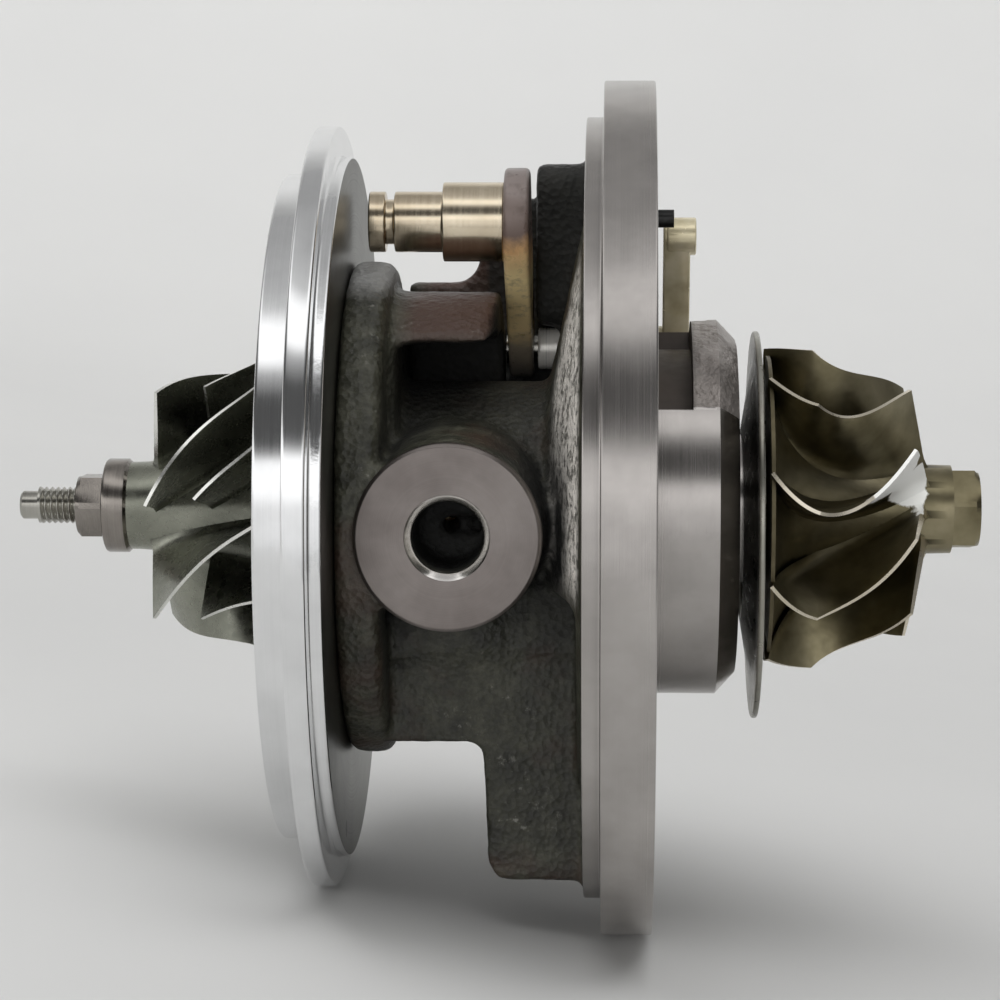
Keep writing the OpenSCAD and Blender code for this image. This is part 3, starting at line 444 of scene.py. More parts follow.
def cast_iron(name):
    """Oily cast iron: a sandy skin, rusty clouds, a lighter top, painted sparkles, a flare bright partly from wear and
    partly as painted sheen, and painted shade, partly oil stains, in the hollows, the pocket and behind the lever.
    """
    material, tree, shader = new_finish(name, {"Metallic": 0.0})
    place, parts, _ = axial(tree)
    cloud = speckle(tree, place, 230.0, 8.0, 0.78)
    rust = speckle(tree, place, 70.0, 4.0)
    coarse = speckle(tree, place, 620.0, 4.0, 0.8)
    grain = speckle(tree, place, 1500.0, 4.0, 0.7)
    skin = add(tree, "ShaderNodeTexVoronoi", {"Vector": place, "Scale": 1100.0}).outputs["Distance"]
    rusty = higher(tree, remap(tree, rust, 0.54, 0.66, 0.0, 0.45), zone(tree, parts, RUSTY_WALL, 0.85))
    # Painted highlights: small bright specks in the colour stand for the sparkle of the oily skin.
    painted_sparkles = product(tree, remap(tree, coarse, 0.60, 0.68), remap(tree, rust, 0.5, 0.4), 0.3)
    # The top of the cast flange is coloured a lighter grey.
    lighter_top = zone(tree, parts, TOP_OF_FLANGE, remap(tree, cloud, 0.3, 0.5, 0.4, 1.0))
    # The flare is bright partly from wear and partly as a painted sheen of sparkling highlights on its lit fillet.
    flare_wear_and_sheen = zone(tree, parts, FLARE, remap(tree, coarse, 0.42, 0.52, 0.15, 1.0))
    # Painted shade: the colour goes near black in the pocket, behind the lever and where the mesh is closed in, partly
    # oil stains.
    pocket_and_lever_shade = higher(tree, zone(tree, parts, POCKET_SHADE, 0.6), zone(tree, parts, SHADE_BEHIND_LEVER, 0.9))
    shade_and_oil = higher(tree, remap(tree, closed_in(tree), 0.2, 0.8), pocket_and_lever_shade)
    colour = ramp(tree, cloud, IRON)
    for share, tint in ((rusty, RUST), (painted_sparkles, PAINTED_SPARKLE), (lighter_top, LIGHTER_GREY), (flare_wear_and_sheen, BRIGHT_WEAR_AND_SHEEN), (shade_and_oil, SHADE_AND_OIL_BLACK)):
        colour = blend(tree, share, colour, tint)
    tree.links.new(colour, shader.inputs["Base Color"])
    # Painted shade also lowers the specular level where it darkens the colour.
    shine = product(tree, remap(tree, shade_and_oil, 0.2, 0.9, 1.0, 0.25), 0.55)
    tree.links.new(shine, shader.inputs["Specular IOR Level"])
    tree.links.new(remap(tree, cloud, 0.3, 0.7, 0.34, 0.56), shader.inputs["Roughness"])
    roughen(tree, shader, scaled(tree, grain, 0.7, skin), 0.75, 0.3)
    return material


iron_finish = cast_iron("oily_cast_iron")
print("cast iron made")

# %% [markdown]
# ### Precision castings and pressings
# The wheels and the vane crank are cast in fine shells, and the shield is pressed from sheet. They are smoother than
# the housing, with clouds of tint from the heat. One finish with different colours serves them all. The turbine
# wheel carries dabs of white paint, whose ragged edge is a distance plus noise.

# %% Precision castings
PAINT, PAINT_DULL = rgb(0.85, 0.85, 0.82), 0.3
PAINT_RAGGED, PAINT_INNER, PAINT_OUTER = 2.0 * MM, 0.9 * MM, 1.1 * MM


def cast_alloy(name, light, dark, shade, roughness=0.34, grain_scale=600.0, depth=0.12, dabs=(), metal=1.0):
    """Satin metal with clouds of tint, a fine sandy skin, painted shade in the hollows and perhaps dabs of white
    paint.
    """
    material, tree, shader = new_finish(name, {"Metallic": metal})
    place = object_place(tree)
    cloud = speckle(tree, place, 110.0)
    grain = speckle(tree, place, grain_scale)
    colour = ramp(tree, cloud, [(0.28, shade), (0.5, dark), (0.72, light)])
    # Painted shade: the colour goes darker where the mesh is closed in.
    hollow_shade = rgb(*[0.12 * c for c in shade])
    colour = blend(tree, remap(tree, closed_in(tree), 0.25, 0.95, 0.0, 0.85), colour, hollow_shade)
    gloss = remap(tree, grain, 0.3, 0.7, roughness - 0.06, roughness + 0.08)
    paint = None
    for spot, size in dabs:
        ragged = scaled(tree, speckle(tree, place, 300.0), PAINT_RAGGED, distance_from(tree, place, spot))
        dab = remap(tree, ragged, size + PAINT_OUTER, size + PAINT_INNER)
        paint = higher(tree, dab, paint) if paint else dab
    if paint:
        colour = blend(tree, paint, colour, PAINT)
        gloss = scaled(tree, paint, PAINT_DULL, gloss)
        tree.links.new(remap(tree, paint, 0, 1, 1, 0), shader.inputs["Metallic"])
    tree.links.new(colour, shader.inputs["Base Color"])
    tree.links.new(gloss, shader.inputs["Roughness"])
    roughen(tree, shader, grain, depth, 0.1)
    return material


# %% Finishes of the castings and pressings
DABS = [((31.5 * MM, -14.5 * MM, 5.5 * MM), 4.8 * MM), ((34.0 * MM, -8.0 * MM, 3.8 * MM), 3.6 * MM)]
turbine_finish = cast_alloy(
    "olive_nickel", (0.34, 0.30, 0.20), (0.25, 0.22, 0.135), (0.16, 0.137, 0.08), 0.34, dabs=DABS)
turbine_land = cast_alloy(
    "turbine_land", (0.80, 0.74, 0.62), (0.70, 0.64, 0.52), (0.6, 0.54, 0.42), 0.28, dabs=DABS)
crank_finish = cast_alloy(
    "olive_crank", (0.95, 0.87, 0.66), (0.72, 0.64, 0.43), (0.38, 0.33, 0.19), 0.2, 600.0, 0.3, metal=0.4)
wheel_finish = cast_alloy(
    "wheel_aluminium", (0.34, 0.345, 0.29), (0.27, 0.275, 0.23), (0.20, 0.205, 0.17), 0.27)
wheel_land = cast_alloy("wheel_land", (0.86, 0.86, 0.82), (0.78, 0.78, 0.74), (0.7, 0.7, 0.66), 0.25)
shield_finish = cast_alloy("pressed_shield", (0.42, 0.41, 0.37), (0.33, 0.32, 0.28), (0.24, 0.23, 0.20), 0.3)
# The rim and the back of the turbine disc are a darker olive than the blades.
disc_finish = cast_alloy("sooty_disc", (0.20, 0.175, 0.11), (0.14, 0.12, 0.075), (0.08, 0.07, 0.045), 0.45)
# Painted shade: the groove is coloured dark brown where the nose and the crank shade it.
groove_shade_finish = cast_alloy(
    "sooty_groove", (0.15, 0.12, 0.10), (0.10, 0.08, 0.065), (0.06, 0.047, 0.04), 0.45, metal=0.3)
dark_finish = cast_alloy("black_steel", (0.06, 0.06, 0.06), (0.04, 0.04, 0.04), (0.03, 0.03, 0.03), 0.4)
lump_finish = cast_alloy(
    "raw_skin", (0.46, 0.42, 0.40), (0.33, 0.30, 0.28), (0.16, 0.145, 0.135), 0.36, 700.0, 5.0, metal=0.7)
print("finishes of castings and pressings made")

# %% Seal rubber
rubber_finish, rubber_tree, rubber_shader = new_finish("seal_rubber", {"Roughness": 0.7})
rubber_noise = speckle(rubber_tree, object_place(rubber_tree), 700.0)
rubber_tone = ramp(rubber_tree, rubber_noise, [(0.3, grey(0.012)), (0.7, grey(0.025))])
rubber_tree.links.new(rubber_tone, rubber_shader.inputs["Base Color"])
print("rubber made")

# %% [markdown]
# ### Lever
# The lever is gold passivated steel that heat has tinted. Its colours run along its length, so a ramp reads the
# height on the lever, and noise makes the borders uneven. The dark grey at the spindle end is painted shade on grey
# steel.

# %% Heat tinted lever
# The first stop is a dark grey that stands for shade at the spindle end.
TINTS_AND_SHADE = [
    (0.0, (0.12, 0.11, 0.10)), (0.16, (0.36, 0.30, 0.22)), (0.24, (0.92, 0.70, 0.36)), (0.50, (1.0, 0.80, 0.42)),
    (0.62, (0.66, 0.40, 0.19)), (0.70, (0.14, 0.10, 0.085)), (1.0, (0.20, 0.17, 0.16))]
TINT_UNEVEN, STAIN = 0.14, rgb(0.06, 0.045, 0.035)


def tinted_lever(name, low, high):
    """Gold passivated steel with oxide colours: grey at the spindle, darkened there as painted shade, gold in the
    middle, plum at the head.
    """
    material, tree, shader = new_finish(name, {"Metallic": 0.1})
    place, parts, _ = axial(tree)
    cloud = speckle(tree, place, 260.0)
    level = remap(tree, parts["Z"], low, high, -TINT_UNEVEN / 2, 1 - TINT_UNEVEN / 2)
    colour = ramp(tree, scaled(tree, cloud, TINT_UNEVEN, level), TINTS_AND_SHADE)
    stains = product(tree, remap(tree, speckle(tree, place, 650.0), 0.52, 0.70), 0.4)
    colour = blend(tree, stains, colour, STAIN)
    tree.links.new(colour, shader.inputs["Base Color"])
    tree.links.new(remap(tree, cloud, 0.3, 0.7, 0.2, 0.5), shader.inputs["Roughness"])
    roughen(tree, shader, cloud, 0.5, 0.15)
    return material


lever_low, lever_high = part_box("crank_lever")
lever_finish = tinted_lever("tinted_lever", lever_low.z, lever_high.z)
print("lever finish made")

# %% [markdown]
# ## Turned pieces
# A turned part is a profile swept round an axis. The profile is a short list of corners, and each corner is
# rounded before the sweep, because a real edge always catches a line of light.

# %% Helpers for meshes
CLOSE, SHARP = 1e-7, 28
RAY_LIFT = 0.15 * MM


def show(name, mesh, body, replaces=()):
    """Puts a finished mesh in the scene as a piece that moves with a body and stands for some solids."""
    piece = bpy.data.objects.new(name, mesh)
    scene.collection.objects.link(piece)
    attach(piece, body)
    if replaces:
        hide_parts(*replaces)
    print(name, len(mesh.polygons), "faces")


def finished_mesh(name, points, faces, materials, picks=None, sharp=SHARP):
    """A mesh in metres from points in millimetres, closed, facing outwards and smooth but for its sharp edges."""
    mesh = bpy.data.meshes.new(name)
    mesh.from_pydata((np.asarray(points, float) * MM).tolist(), [], faces)
    for material in materials:
        mesh.materials.append(material)
    if picks is not None:
        mesh.polygons.foreach_set("material_index", picks)
    made = bmesh.new()
    made.from_mesh(mesh)
    bmesh.ops.remove_doubles(made, verts=made.verts, dist=CLOSE)
    bmesh.ops.dissolve_degenerate(made, edges=made.edges, dist=CLOSE)
    bmesh.ops.recalc_face_normals(made, faces=made.faces)
    made.to_mesh(mesh)
    made.free()
    smooth_but_sharp(mesh, sharp)
    return mesh


def smooth_but_sharp(mesh, sharp=SHARP):
    """Shades a mesh smooth, apart from the edges that are sharper than an angle in degrees."""
    mesh.polygons.foreach_set("use_smooth", [True] * len(mesh.polygons))
    mesh.set_sharp_from_angle(angle=math.radians(sharp))


# Painted shade, partly oil stains: the stored share darkens the colour of the finishes where a point is closed in.
def store_hollow_shade(mesh, reach_mm, others=(), rays=24):
    """Stores how closed in each point is: the share of rays from it that meet something within a reach."""
    points, faces = [], []
    for part in (mesh, *others):
        first = len(points)
        points += [v.co.copy() for v in part.vertices]
        faces += [[first + v for v in p.vertices] for p in part.polygons]
    tree = BVHTree.FromPolygons(points, faces)
    golden = math.pi * (3 - math.sqrt(5))
    lifts = [1 - (2 * i + 1) / rays for i in range(rays)]
    sphere = [Vector((math.sqrt(1 - h * h) * math.cos(golden * i), math.sqrt(1 - h * h) * math.sin(golden * i), h))
              for i, h in enumerate(lifts)]
    closed = []
    for vertex in mesh.vertices:
        start = vertex.co + vertex.normal * RAY_LIFT
        met = sum(tree.ray_cast(start, vertex.normal + way, reach_mm * MM)[0] is not None for way in sphere)
        closed.append(met / rays)
    mesh.attributes.new("grime", "FLOAT", "POINT").data.foreach_set("value", closed)
    print(mesh.name, "closed in by", round(sum(closed) / len(closed), 2), "on average")


# %% Helpers for turned shapes
ROUND_POINTS = 5


def mix(a, b, s):
    """A value or a point that is a share s of the way from a to b."""
    return a + (b - a) * s


def rounded(points, radius=0.3):
    """A closed outline with each corner replaced by a small curve."""
    made = []
    count = len(points)
    for i in range(count):
        before, corner, after = (np.array(points[(i + k) % count], float) for k in (-1, 0, 1))
        ends = []
        for other in (before, after):
            length = np.linalg.norm(other - corner)
            ends.append(corner + (other - corner) * min(radius, 0.45 * length) / max(length, 1e-9))
        for s in np.linspace(0, 1, ROUND_POINTS):
            made.append((1 - s) ** 2 * ends[0] + 2 * s * (1 - s) * corner + s ** 2 * ends[1])
    return made


def swept(profile, segments, centre=(0, 0), shape=None):
    """Points and faces of a closed profile of (x, r) turned about X. shape may change r at an angle."""
    points, faces = [], []
    rows = len(profile)
    for j in range(segments):
        angle = 2 * math.pi * j / segments
        for x, r in profile:
            reach = max(shape(x, r, angle) if shape else r, 0.0)
            points.append((x, centre[0] + reach * math.cos(angle), centre[1] + reach * math.sin(angle)))
    for j in range(segments):
        k = (j + 1) % segments
        for i in range(rows):
            n = (i + 1) % rows
            faces.append((j * rows + i, k * rows + i, k * rows + n, j * rows + n))
    return points, faces


def turned_piece(name, corners, material, body, replaces=(), radius=0.3, segments=192, centre=(0, 0)):
    """A piece turned about an axis along X, from the corners of its profile."""
    points, faces = swept(rounded(corners, radius), segments, centre)
    show(name, finished_mesh(name, points, faces, [material]), body, replaces)


# %% Compressor backplate
wheel_recess_r, plate_bore_r, plate_edge = 25.3, 6.3, 0.45
plate_floor = -44.4
rear_skin = 0.05
plate_profile = rounded([
    (x_front, wheel_recess_r), (x_front, register_r), (x_register, register_r), (x_register, rim_r),
    (x_rim, rim_r), (x_rim, rear_step_r), (x_face, rear_step_r), (x_face, plate_bore_r),
    (plate_floor, plate_bore_r), (plate_floor, wheel_recess_r)], plate_edge)
plate_points, plate_faces = swept(plate_profile, 256)
# The faces of the rear get the dark copy of the aluminium, which is painted shade.
rear_shade_picks = [int(min(plate_points[v][0] for v in face) > x_face - rear_skin) for face in plate_faces]
backplate_mesh = finished_mesh(
    "compressor_backplate_turned", plate_points, plate_faces, [plate_finish, plate_rear_shaded], rear_shade_picks)
show("compressor_backplate_turned", backplate_mesh, "housing", ["compressor_backplate"])

# %% [markdown]
# ### Turbine flange and nose
# The turbine side of the housing is turned all over, apart from a patch of raw skin on the nose and a groove that
# leaves room for the vane crank. Both could be cut with booleans. Here they are part of the sweep: its radius
# depends on the angle too, which keeps the mesh even and clean.

# %% Shape of the flange and the nose
bore_r, seal_bore_r, spigot_r = 6.55, 8.5, 10.0
nose_groove_x, nose_groove_r, x_nose_step = 4.9, nose_r - 3.6, 5.2
x_nose = x_spigot - 2.2
bevel_w, bevel_h, raw_step = 2.7, 2.8, 0.3
GROOVE = (math.radians(68), math.radians(143))
RAW = (math.radians(64), math.radians(142))
RAW_RISE, RAW_WAVES = 0.3, ((0.3, 0.25), (0.12, 1.1))
raw_line = [(x, nose_r) for x in np.arange(x_nose_step + raw_step, x_nose - bevel_w, raw_step)]
raw_line += [(x_nose - bevel_w + (bevel_w - 0.1) * k, nose_r - bevel_h * k) for k in np.linspace(0, 1, 8)]


def is_raw(x, r, angle):
    """Whether a place on the nose is in the patch that was left as cast."""
    return RAW[0] < angle < RAW[1] and nose_groove_x < x < x_nose and r > nose_r - 3


def nose_shape(x, r, angle):
    """Cuts the groove that the vane crank moves in and lets the raw patch of skin stand up a little."""
    if GROOVE[0] < angle < GROOVE[1] and x < nose_groove_x and 0 <= x and nose_groove_r < r < nose_r + 0.2:
        return nose_groove_r
    if is_raw(x, r, angle):
        spot = Vector((x, r * math.cos(angle), r * math.sin(angle)))
        return r + RAW_RISE + sum(size * noise.noise(spot * scale) for size, scale in RAW_WAVES)
    return r


# %% Turbine flange and nose
CAST_R, CAST_INSET, SEAL_FLOOR = step_r - 0.8, 0.5, 0.5
flange_profile = [(x_neck + CAST_INSET, bore_r), (x_neck + CAST_INSET, CAST_R - 0.1)]
flange_profile += rounded([
    (x_neck, CAST_R), (x_neck, step_r), (x_step, step_r), (x_step, flange_r), (0, flange_r), (0, nose_r)],
    0.3)[ROUND_POINTS:-ROUND_POINTS]
flange_profile += [(0.2, nose_r), (nose_groove_x - 0.05, nose_r), (nose_groove_x + 0.02, nose_r)] + raw_line
flange_profile += [(x_nose, spigot_r), (x_spigot - 0.2, spigot_r), (x_spigot, spigot_r - 0.2), (x_spigot, seal_bore_r),
                   (SEAL_FLOOR, seal_bore_r), (SEAL_FLOOR, bore_r)]
flange_points, flange_faces = swept(flange_profile, 360, (0, 0), nose_shape)


def flange_pick(face):
    """The finish of a face: 0 is turned, 1 is as cast, and 2 is the groove, painted dark as its shade."""
    x, y, z = np.mean([flange_points[v] for v in face], axis=0)
    r, angle = math.hypot(y, z), math.atan2(z, y)
    at_groove = GROOVE[0] - 0.02 < angle < GROOVE[1] + 0.02 and -0.01 < x < nose_groove_x + 0.03
    return 2 if at_groove and nose_groove_r - 0.3 < r < nose_r - 0.3 else int(is_raw(x, r, angle))


flange_mesh = finished_mesh(
    "turbine_flange", flange_points, flange_faces, [rim_finish, lump_finish, groove_shade_finish],
    [flange_pick(face) for face in flange_faces])
# Painted shade in the hollows of the flange, the nose and its groove.
store_hollow_shade(flange_mesh, 12)
show("turbine_flange", flange_mesh, "housing", ["centre_housing"])

# %% [markdown]
# ### Heat shield and actuator pin
# The shield is a thin dished sheet that hangs loose on the nose and keeps the hot gas off the bearings. It could be
# a disc with a Solidify modifier, but a profile with both faces also rounds its edges. Painted shade is stored at
# the points of the mesh, so there are extra rows where the cone meets the flat rim. The pin is turned from bar.

# %% Heat shield
shield_front, shield_rear = span("heat_shield")
shield_low, shield_high = span("heat_shield", 2)
shield_z = (shield_low + shield_high) / 2
shield_r = (shield_high - shield_low) / 2
sheet_t, shield_hole_r, shield_flat_r = 0.8, 12.5, 21.7
shield_profile = rounded([
    (shield_front, shield_hole_r), (shield_rear - sheet_t, shield_flat_r), (shield_rear - sheet_t, shield_r),
    (shield_rear, shield_r), (shield_rear, shield_flat_r), (shield_front + sheet_t, shield_hole_r)], 0.35)
rim_start = ROUND_POINTS + 1
extra_rows = [mix(shield_profile[rim_start - 1], shield_profile[rim_start], s) for s in np.linspace(0.1, 0.9, 9)]
shield_rows = shield_profile[:rim_start] + extra_rows + shield_profile[rim_start:]
shield_points, shield_faces = swept(shield_rows, 192, (0, shield_z))
shield_mesh = finished_mesh("heat_shield_pressed", shield_points, shield_faces, [shield_finish])
# Painted shade on the dished cone, between the shield and the nose.
store_hollow_shade(shield_mesh, 9, [flange_mesh])
show("heat_shield_pressed", shield_mesh, "shield", ["heat_shield"])

# %% Actuator pin
pin_r, collar_r, rivet_r = 4.05, 5.3, 3.0
groove_r = pin_r - 1.05
groove_start, groove_end = x_pin_end + 2.2, x_pin_end + 3.4
collar_x = x_lever_out - 8.2
pin_mm = [c / MM for c in pin_centre[1:]]
turned_piece("actuator_pin_turned", [
    (x_pin_end, 0), (x_pin_end, pin_r), (groove_start, pin_r), (groove_start, groove_r),
    (groove_end, groove_r), (groove_end, pin_r), (collar_x, pin_r), (collar_x, collar_r),
    (x_lever_out, collar_r), (x_lever_out, rivet_r), (pin_rear, rivet_r), (pin_rear, 0)],
    brass_finish, "crank", ["actuator_pin"], 0.25, 96, pin_mm)

# %% [markdown]
# ## Blades
# The blades are what makes this part hard to build. A compressor blade follows two quarter ellipses, one on the
# hub and one at the tips, and wraps round the shaft as it goes. A turbine blade stands on radial lines whose angle
# changes along the shaft. One blade is made from its rule, and a node tree then copies it round the shaft.

# %% One blade from its rule
BLADE_SHARP, START_BIAS = 35, 1.15


def polar(x, r, degrees):
    """A point from its place along the shaft, its radius and its angle."""
    a = math.radians(degrees)
    return np.array((x, r * math.cos(a), r * math.sin(a)))


def blade_mesh(name, mid, half, start, along_n, across_n, materials):
    """A closed blade: its middle surface thickened to both sides, with a bright machined land on its edges."""
    step = 0.002
    points, faces, picks = [], [], []
    for side in (1, -1):
        for i in range(along_n + 1):
            t = mix(start, 1, (i / along_n) ** START_BIAS)
            for j in range(across_n + 1):
                s = j / across_n
                along = mid(min(t + step, 1), s) - mid(max(t - step, 0), s)
                across = mid(t, min(s + step, 1)) - mid(t, max(s - step, 0))
                normal = np.cross(along, across)
                points.append(mid(t, s) + side * half(t, s) * normal / np.linalg.norm(normal))
    m = across_n + 1
    k = (along_n + 1) * m
    for i in range(along_n):
        for j in range(across_n):
            a = i * m + j
            faces += [(a, a + 1, a + m + 1, a + m), (k + a, k + a + m, k + a + m + 1, k + a + 1)]
            picks += [0, 0]
    rim = [(i * m + across_n, (i + 1) * m + across_n) for i in range(along_n)]
    rim += [(j + 1, j) for j in range(across_n)]
    rim += [(along_n * m + j, along_n * m + j + 1) for j in range(across_n)]
    faces += [(b, a, k + a, k + b) for a, b in rim]
    picks += [1] * len(rim)
    foot = [(i * m, (i + 1) * m) for i in range(along_n)]
    faces += [(a, b, k + b, k + a) for a, b in foot]
    picks += [0] * len(foot)
    return finished_mesh(name, points, faces, materials, picks, BLADE_SHARP)


# %% Node tree that copies a blade round the shaft


def ring_tree(name):
    """Copies its mesh round the X axis. Its inputs are the count, the first angle and the two finishes."""
    tree = bpy.data.node_groups.new(name, "GeometryNodeTree")
    sockets = {}
    for label, kind in (("Geometry", "NodeSocketGeometry"), ("Count", "NodeSocketInt"),
                        ("First angle", "NodeSocketFloat"), ("Skin", "NodeSocketMaterial"),
                        ("Land", "NodeSocketMaterial")):
        sockets[label] = tree.interface.new_socket(label, in_out="INPUT", socket_type=kind)
    tree.interface.new_socket("Geometry", in_out="OUTPUT", socket_type="NodeSocketGeometry")
    inputs = add(tree, "NodeGroupInput").outputs
    land = add(tree, "GeometryNodeInputMaterialIndex").outputs["Material Index"]
    skinned = add(tree, "GeometryNodeStoreNamedAttribute", {
        "Geometry": inputs["Geometry"], "Name": "land", "Value": land}, data_type="FLOAT", domain="FACE")
    spots = add(tree, "GeometryNodeMeshLine", {"Count": inputs["Count"], "Offset": (0, 0, 0)})
    copies = add(tree, "GeometryNodeInstanceOnPoints", {
        "Points": spots.outputs["Mesh"], "Instance": skinned.outputs["Geometry"]})
    index = add(tree, "GeometryNodeInputIndex").outputs["Index"]
    pitch = add(tree, "ShaderNodeMath", {0: 2 * math.pi, 1: inputs["Count"]}, operation="DIVIDE")
    angle = add(tree, "ShaderNodeMath", {
        0: index, 1: pitch.outputs["Value"], 2: inputs["First angle"]}, operation="MULTIPLY_ADD")
    turn = add(tree, "ShaderNodeCombineXYZ", {"X": angle.outputs["Value"]})
    turned = add(tree, "GeometryNodeRotateInstances", {
        "Instances": copies.outputs["Instances"], "Rotation": turn.outputs["Vector"], "Local Space": False})
    real = add(tree, "GeometryNodeRealizeInstances", {"Geometry": turned.outputs["Instances"]})
    skin = add(tree, "GeometryNodeSetMaterial", {
        "Geometry": real.outputs["Geometry"], "Material": inputs["Skin"]})
    named = add(tree, "GeometryNodeInputNamedAttribute", {"Name": "land"}, data_type="FLOAT")
    is_land = add(tree, "FunctionNodeCompare", {0: named.outputs["Attribute"], 1: 0.5}, operation="GREATER_THAN")
    edged = add(tree, "GeometryNodeSetMaterial", {
        "Geometry": skin.outputs["Geometry"], "Selection": is_land.outputs["Result"], "Material": inputs["Land"]})
    add(tree, "NodeGroupOutput", {"Geometry": edged.outputs["Geometry"]})
    return tree, {label: socket.identifier for label, socket in sockets.items()}


blade_tree, blade_inputs = ring_tree("ring_of_blades")


def ring_of(mesh, count, first_degrees, skin, land):
    """A plain mesh with the copies of a blade made by the node tree."""
    carrier = bpy.data.objects.new(mesh.name + "_carrier", mesh)
    scene.collection.objects.link(carrier)
    modifier = carrier.modifiers.new("ring", "NODES")
    modifier.node_group = blade_tree
    values = {"Count": count, "First angle": math.radians(first_degrees), "Skin": skin, "Land": land}
    for label, value in values.items():
        modifier[blade_inputs[label]] = value
    graph = bpy.context.evaluated_depsgraph_get()
    plain = bpy.data.meshes.new_from_object(carrier.evaluated_get(graph))
    bpy.data.objects.remove(carrier)
    return plain


def joined(name, meshes):
    """Several plain meshes as one, with their finishes kept."""
    made = bmesh.new()
    finishes = []
    for mesh in meshes:
        places = []
        for material in mesh.materials:
            if material not in finishes:
                finishes.append(material)
            places.append(finishes.index(material))
        first = len(made.faces)
        made.from_mesh(mesh)
        made.faces.ensure_lookup_table()
        for face in made.faces[first:]:
            face.material_index = places[face.material_index]
    whole = bpy.data.meshes.new(name)
    made.to_mesh(whole)
    made.free()
    for material in finishes:
        whole.materials.append(material)
    smooth_but_sharp(whole, BLADE_SHARP)
    return whole


# %% Compressor wheel
COMP_BLADES = 6
comp_out_r, comp_in_r, comp_nose_r = 24.5, 17.3, 5.9
x_comp_out = x_wheel_back - 1.2
comp_tip_w, comp_le_hub, comp_le_tip, comp_sink = 2.4, 0.093, 4.4, 0.5
comp_phase, comp_lead, comp_sweep, splitter_start = 173.5, 48, 15, 0.24
comp_root_t, comp_tip_t, comp_fillet, comp_fillet_reach = 1.1, 0.42, 0.9, 0.16
stub_r = 2.55
HUB_STEPS = 40


def comp_hub(t):
    """The hub line of the compressor wheel, from its nose to its rim."""
    a = math.radians(90 * t)
    return mix(x_comp_nose, x_comp_out, math.sin(a)), comp_out_r - (comp_out_r - comp_nose_r) * math.cos(a)


def comp_mid(t, s):
    """The middle surface of a compressor blade: t runs along the hub line and s from the root to the tip."""
    u = mix(comp_le_hub, 1, t)
    x, r = comp_hub(u)
    root = (x + comp_sink * math.sin(math.radians(90 * u)), r - comp_sink * math.cos(math.radians(90 * u)))
    a = math.radians(90 * t)
    tip = (mix(x_comp_nose + comp_le_tip, x_comp_out - comp_tip_w, math.sin(a)),
           comp_out_r - (comp_out_r - comp_in_r) * math.cos(a))
    wrap = comp_phase - comp_lead * (1 - (1 - t) ** 4) - comp_sweep * t * t
    return polar(mix(root[0], tip[0], s), mix(root[1], tip[1], s), wrap)


def comp_half(t, s):
    """Half the thickness of a compressor blade, with a fillet at its root."""
    return mix(comp_root_t, comp_tip_t, s) / 2 + comp_fillet * max(0, 1 - s / comp_fillet_reach) ** 2


hub_line = [comp_hub(i / HUB_STEPS) for i in range(HUB_STEPS + 1)]
hub_profile = hub_line + [(x_wheel_back, comp_out_r), (x_wheel_back, stub_r), (x_comp_nose, stub_r)]
hub_points, hub_faces = swept(hub_profile, 128)
comp_hub_mesh = finished_mesh("compressor_hub", hub_points, hub_faces, [wheel_finish])
full_blade = blade_mesh("full_blade", comp_mid, comp_half, 0.0, 36, 14, [wheel_finish, wheel_land])
splitter = blade_mesh("splitter_blade", comp_mid, comp_half, splitter_start, 30, 14, [wheel_finish, wheel_land])
comp_wheel = joined("compressor_wheel_bladed", [
    comp_hub_mesh, ring_of(full_blade, COMP_BLADES, 0, wheel_finish, wheel_land),
    ring_of(splitter, COMP_BLADES, 180 / COMP_BLADES, wheel_finish, wheel_land)])
# Painted shade in the channels between the blades.
store_hollow_shade(comp_wheel, 14)
show("compressor_wheel_bladed", comp_wheel, "rotor", ["compressor_wheel"])

# %% Rule of the turbine wheel
TURB_BLADES = 9
turb_in_r, turb_out_r, turb_hub_r = 21.5, 17.1, 6.0
x_turb = 15.0
x_nose_end = x_hex_end - 3.7
x_hub_end = x_nose_end - 3.7
disc_t, disc_r, turb_in_w, turb_rake = 0.5, turb_in_r - 1.0, 6.1, 2.3
turb_gap, turb_sink, seal_hub_r = 0.05, 0.5, 8.0
turb_phase, turb_twist, turb_turn = 215.5, 0.24, 7.8
turb_edge_t, turb_root_t, turb_tip_t, turb_edge_reach, turb_fillet_reach = 0.5, 1.1, 0.45, 0.3, 0.18


def turb_hub(t):
    """The hub line of the turbine wheel, from its disc to its nose."""
    a = math.radians(90 * t)
    return mix(x_turb + disc_t, x_hub_end, 1 - math.cos(a)), disc_r - (disc_r - turb_hub_r) * math.sin(a)


def turb_mid(t, s):
    """The middle surface of a turbine blade: t runs along the hub line and s from the root to the tip."""
    a = math.radians(90 * t)
    root = (mix(x_turb + turb_gap, x_hub_end, 1 - math.cos(a)),
            turb_in_r - (turb_in_r - turb_hub_r + turb_sink) * math.sin(a))
    u = t * t * (2 - t)
    tip = (mix(x_turb + turb_in_w, x_hub_end - turb_rake, u),
           turb_out_r + (turb_in_r - turb_out_r) * (0.6 * (1 - u) ** 4 + 0.4 * (1 - u)))
    x = mix(root[0], tip[0], s)
    return polar(x, mix(root[1], tip[1], s), turb_phase - turb_twist * (x - x_turb - turb_turn) ** 2)


def turb_half(t, s):
    """Half the thickness of a turbine blade, which is thin where the gas comes in."""
    inward = min(1, t / turb_edge_reach)
    root_t = mix(turb_edge_t, turb_root_t, inward)
    return mix(root_t, turb_tip_t, s) / 2 + inward * max(0, 1 - s / turb_fillet_reach) ** 2


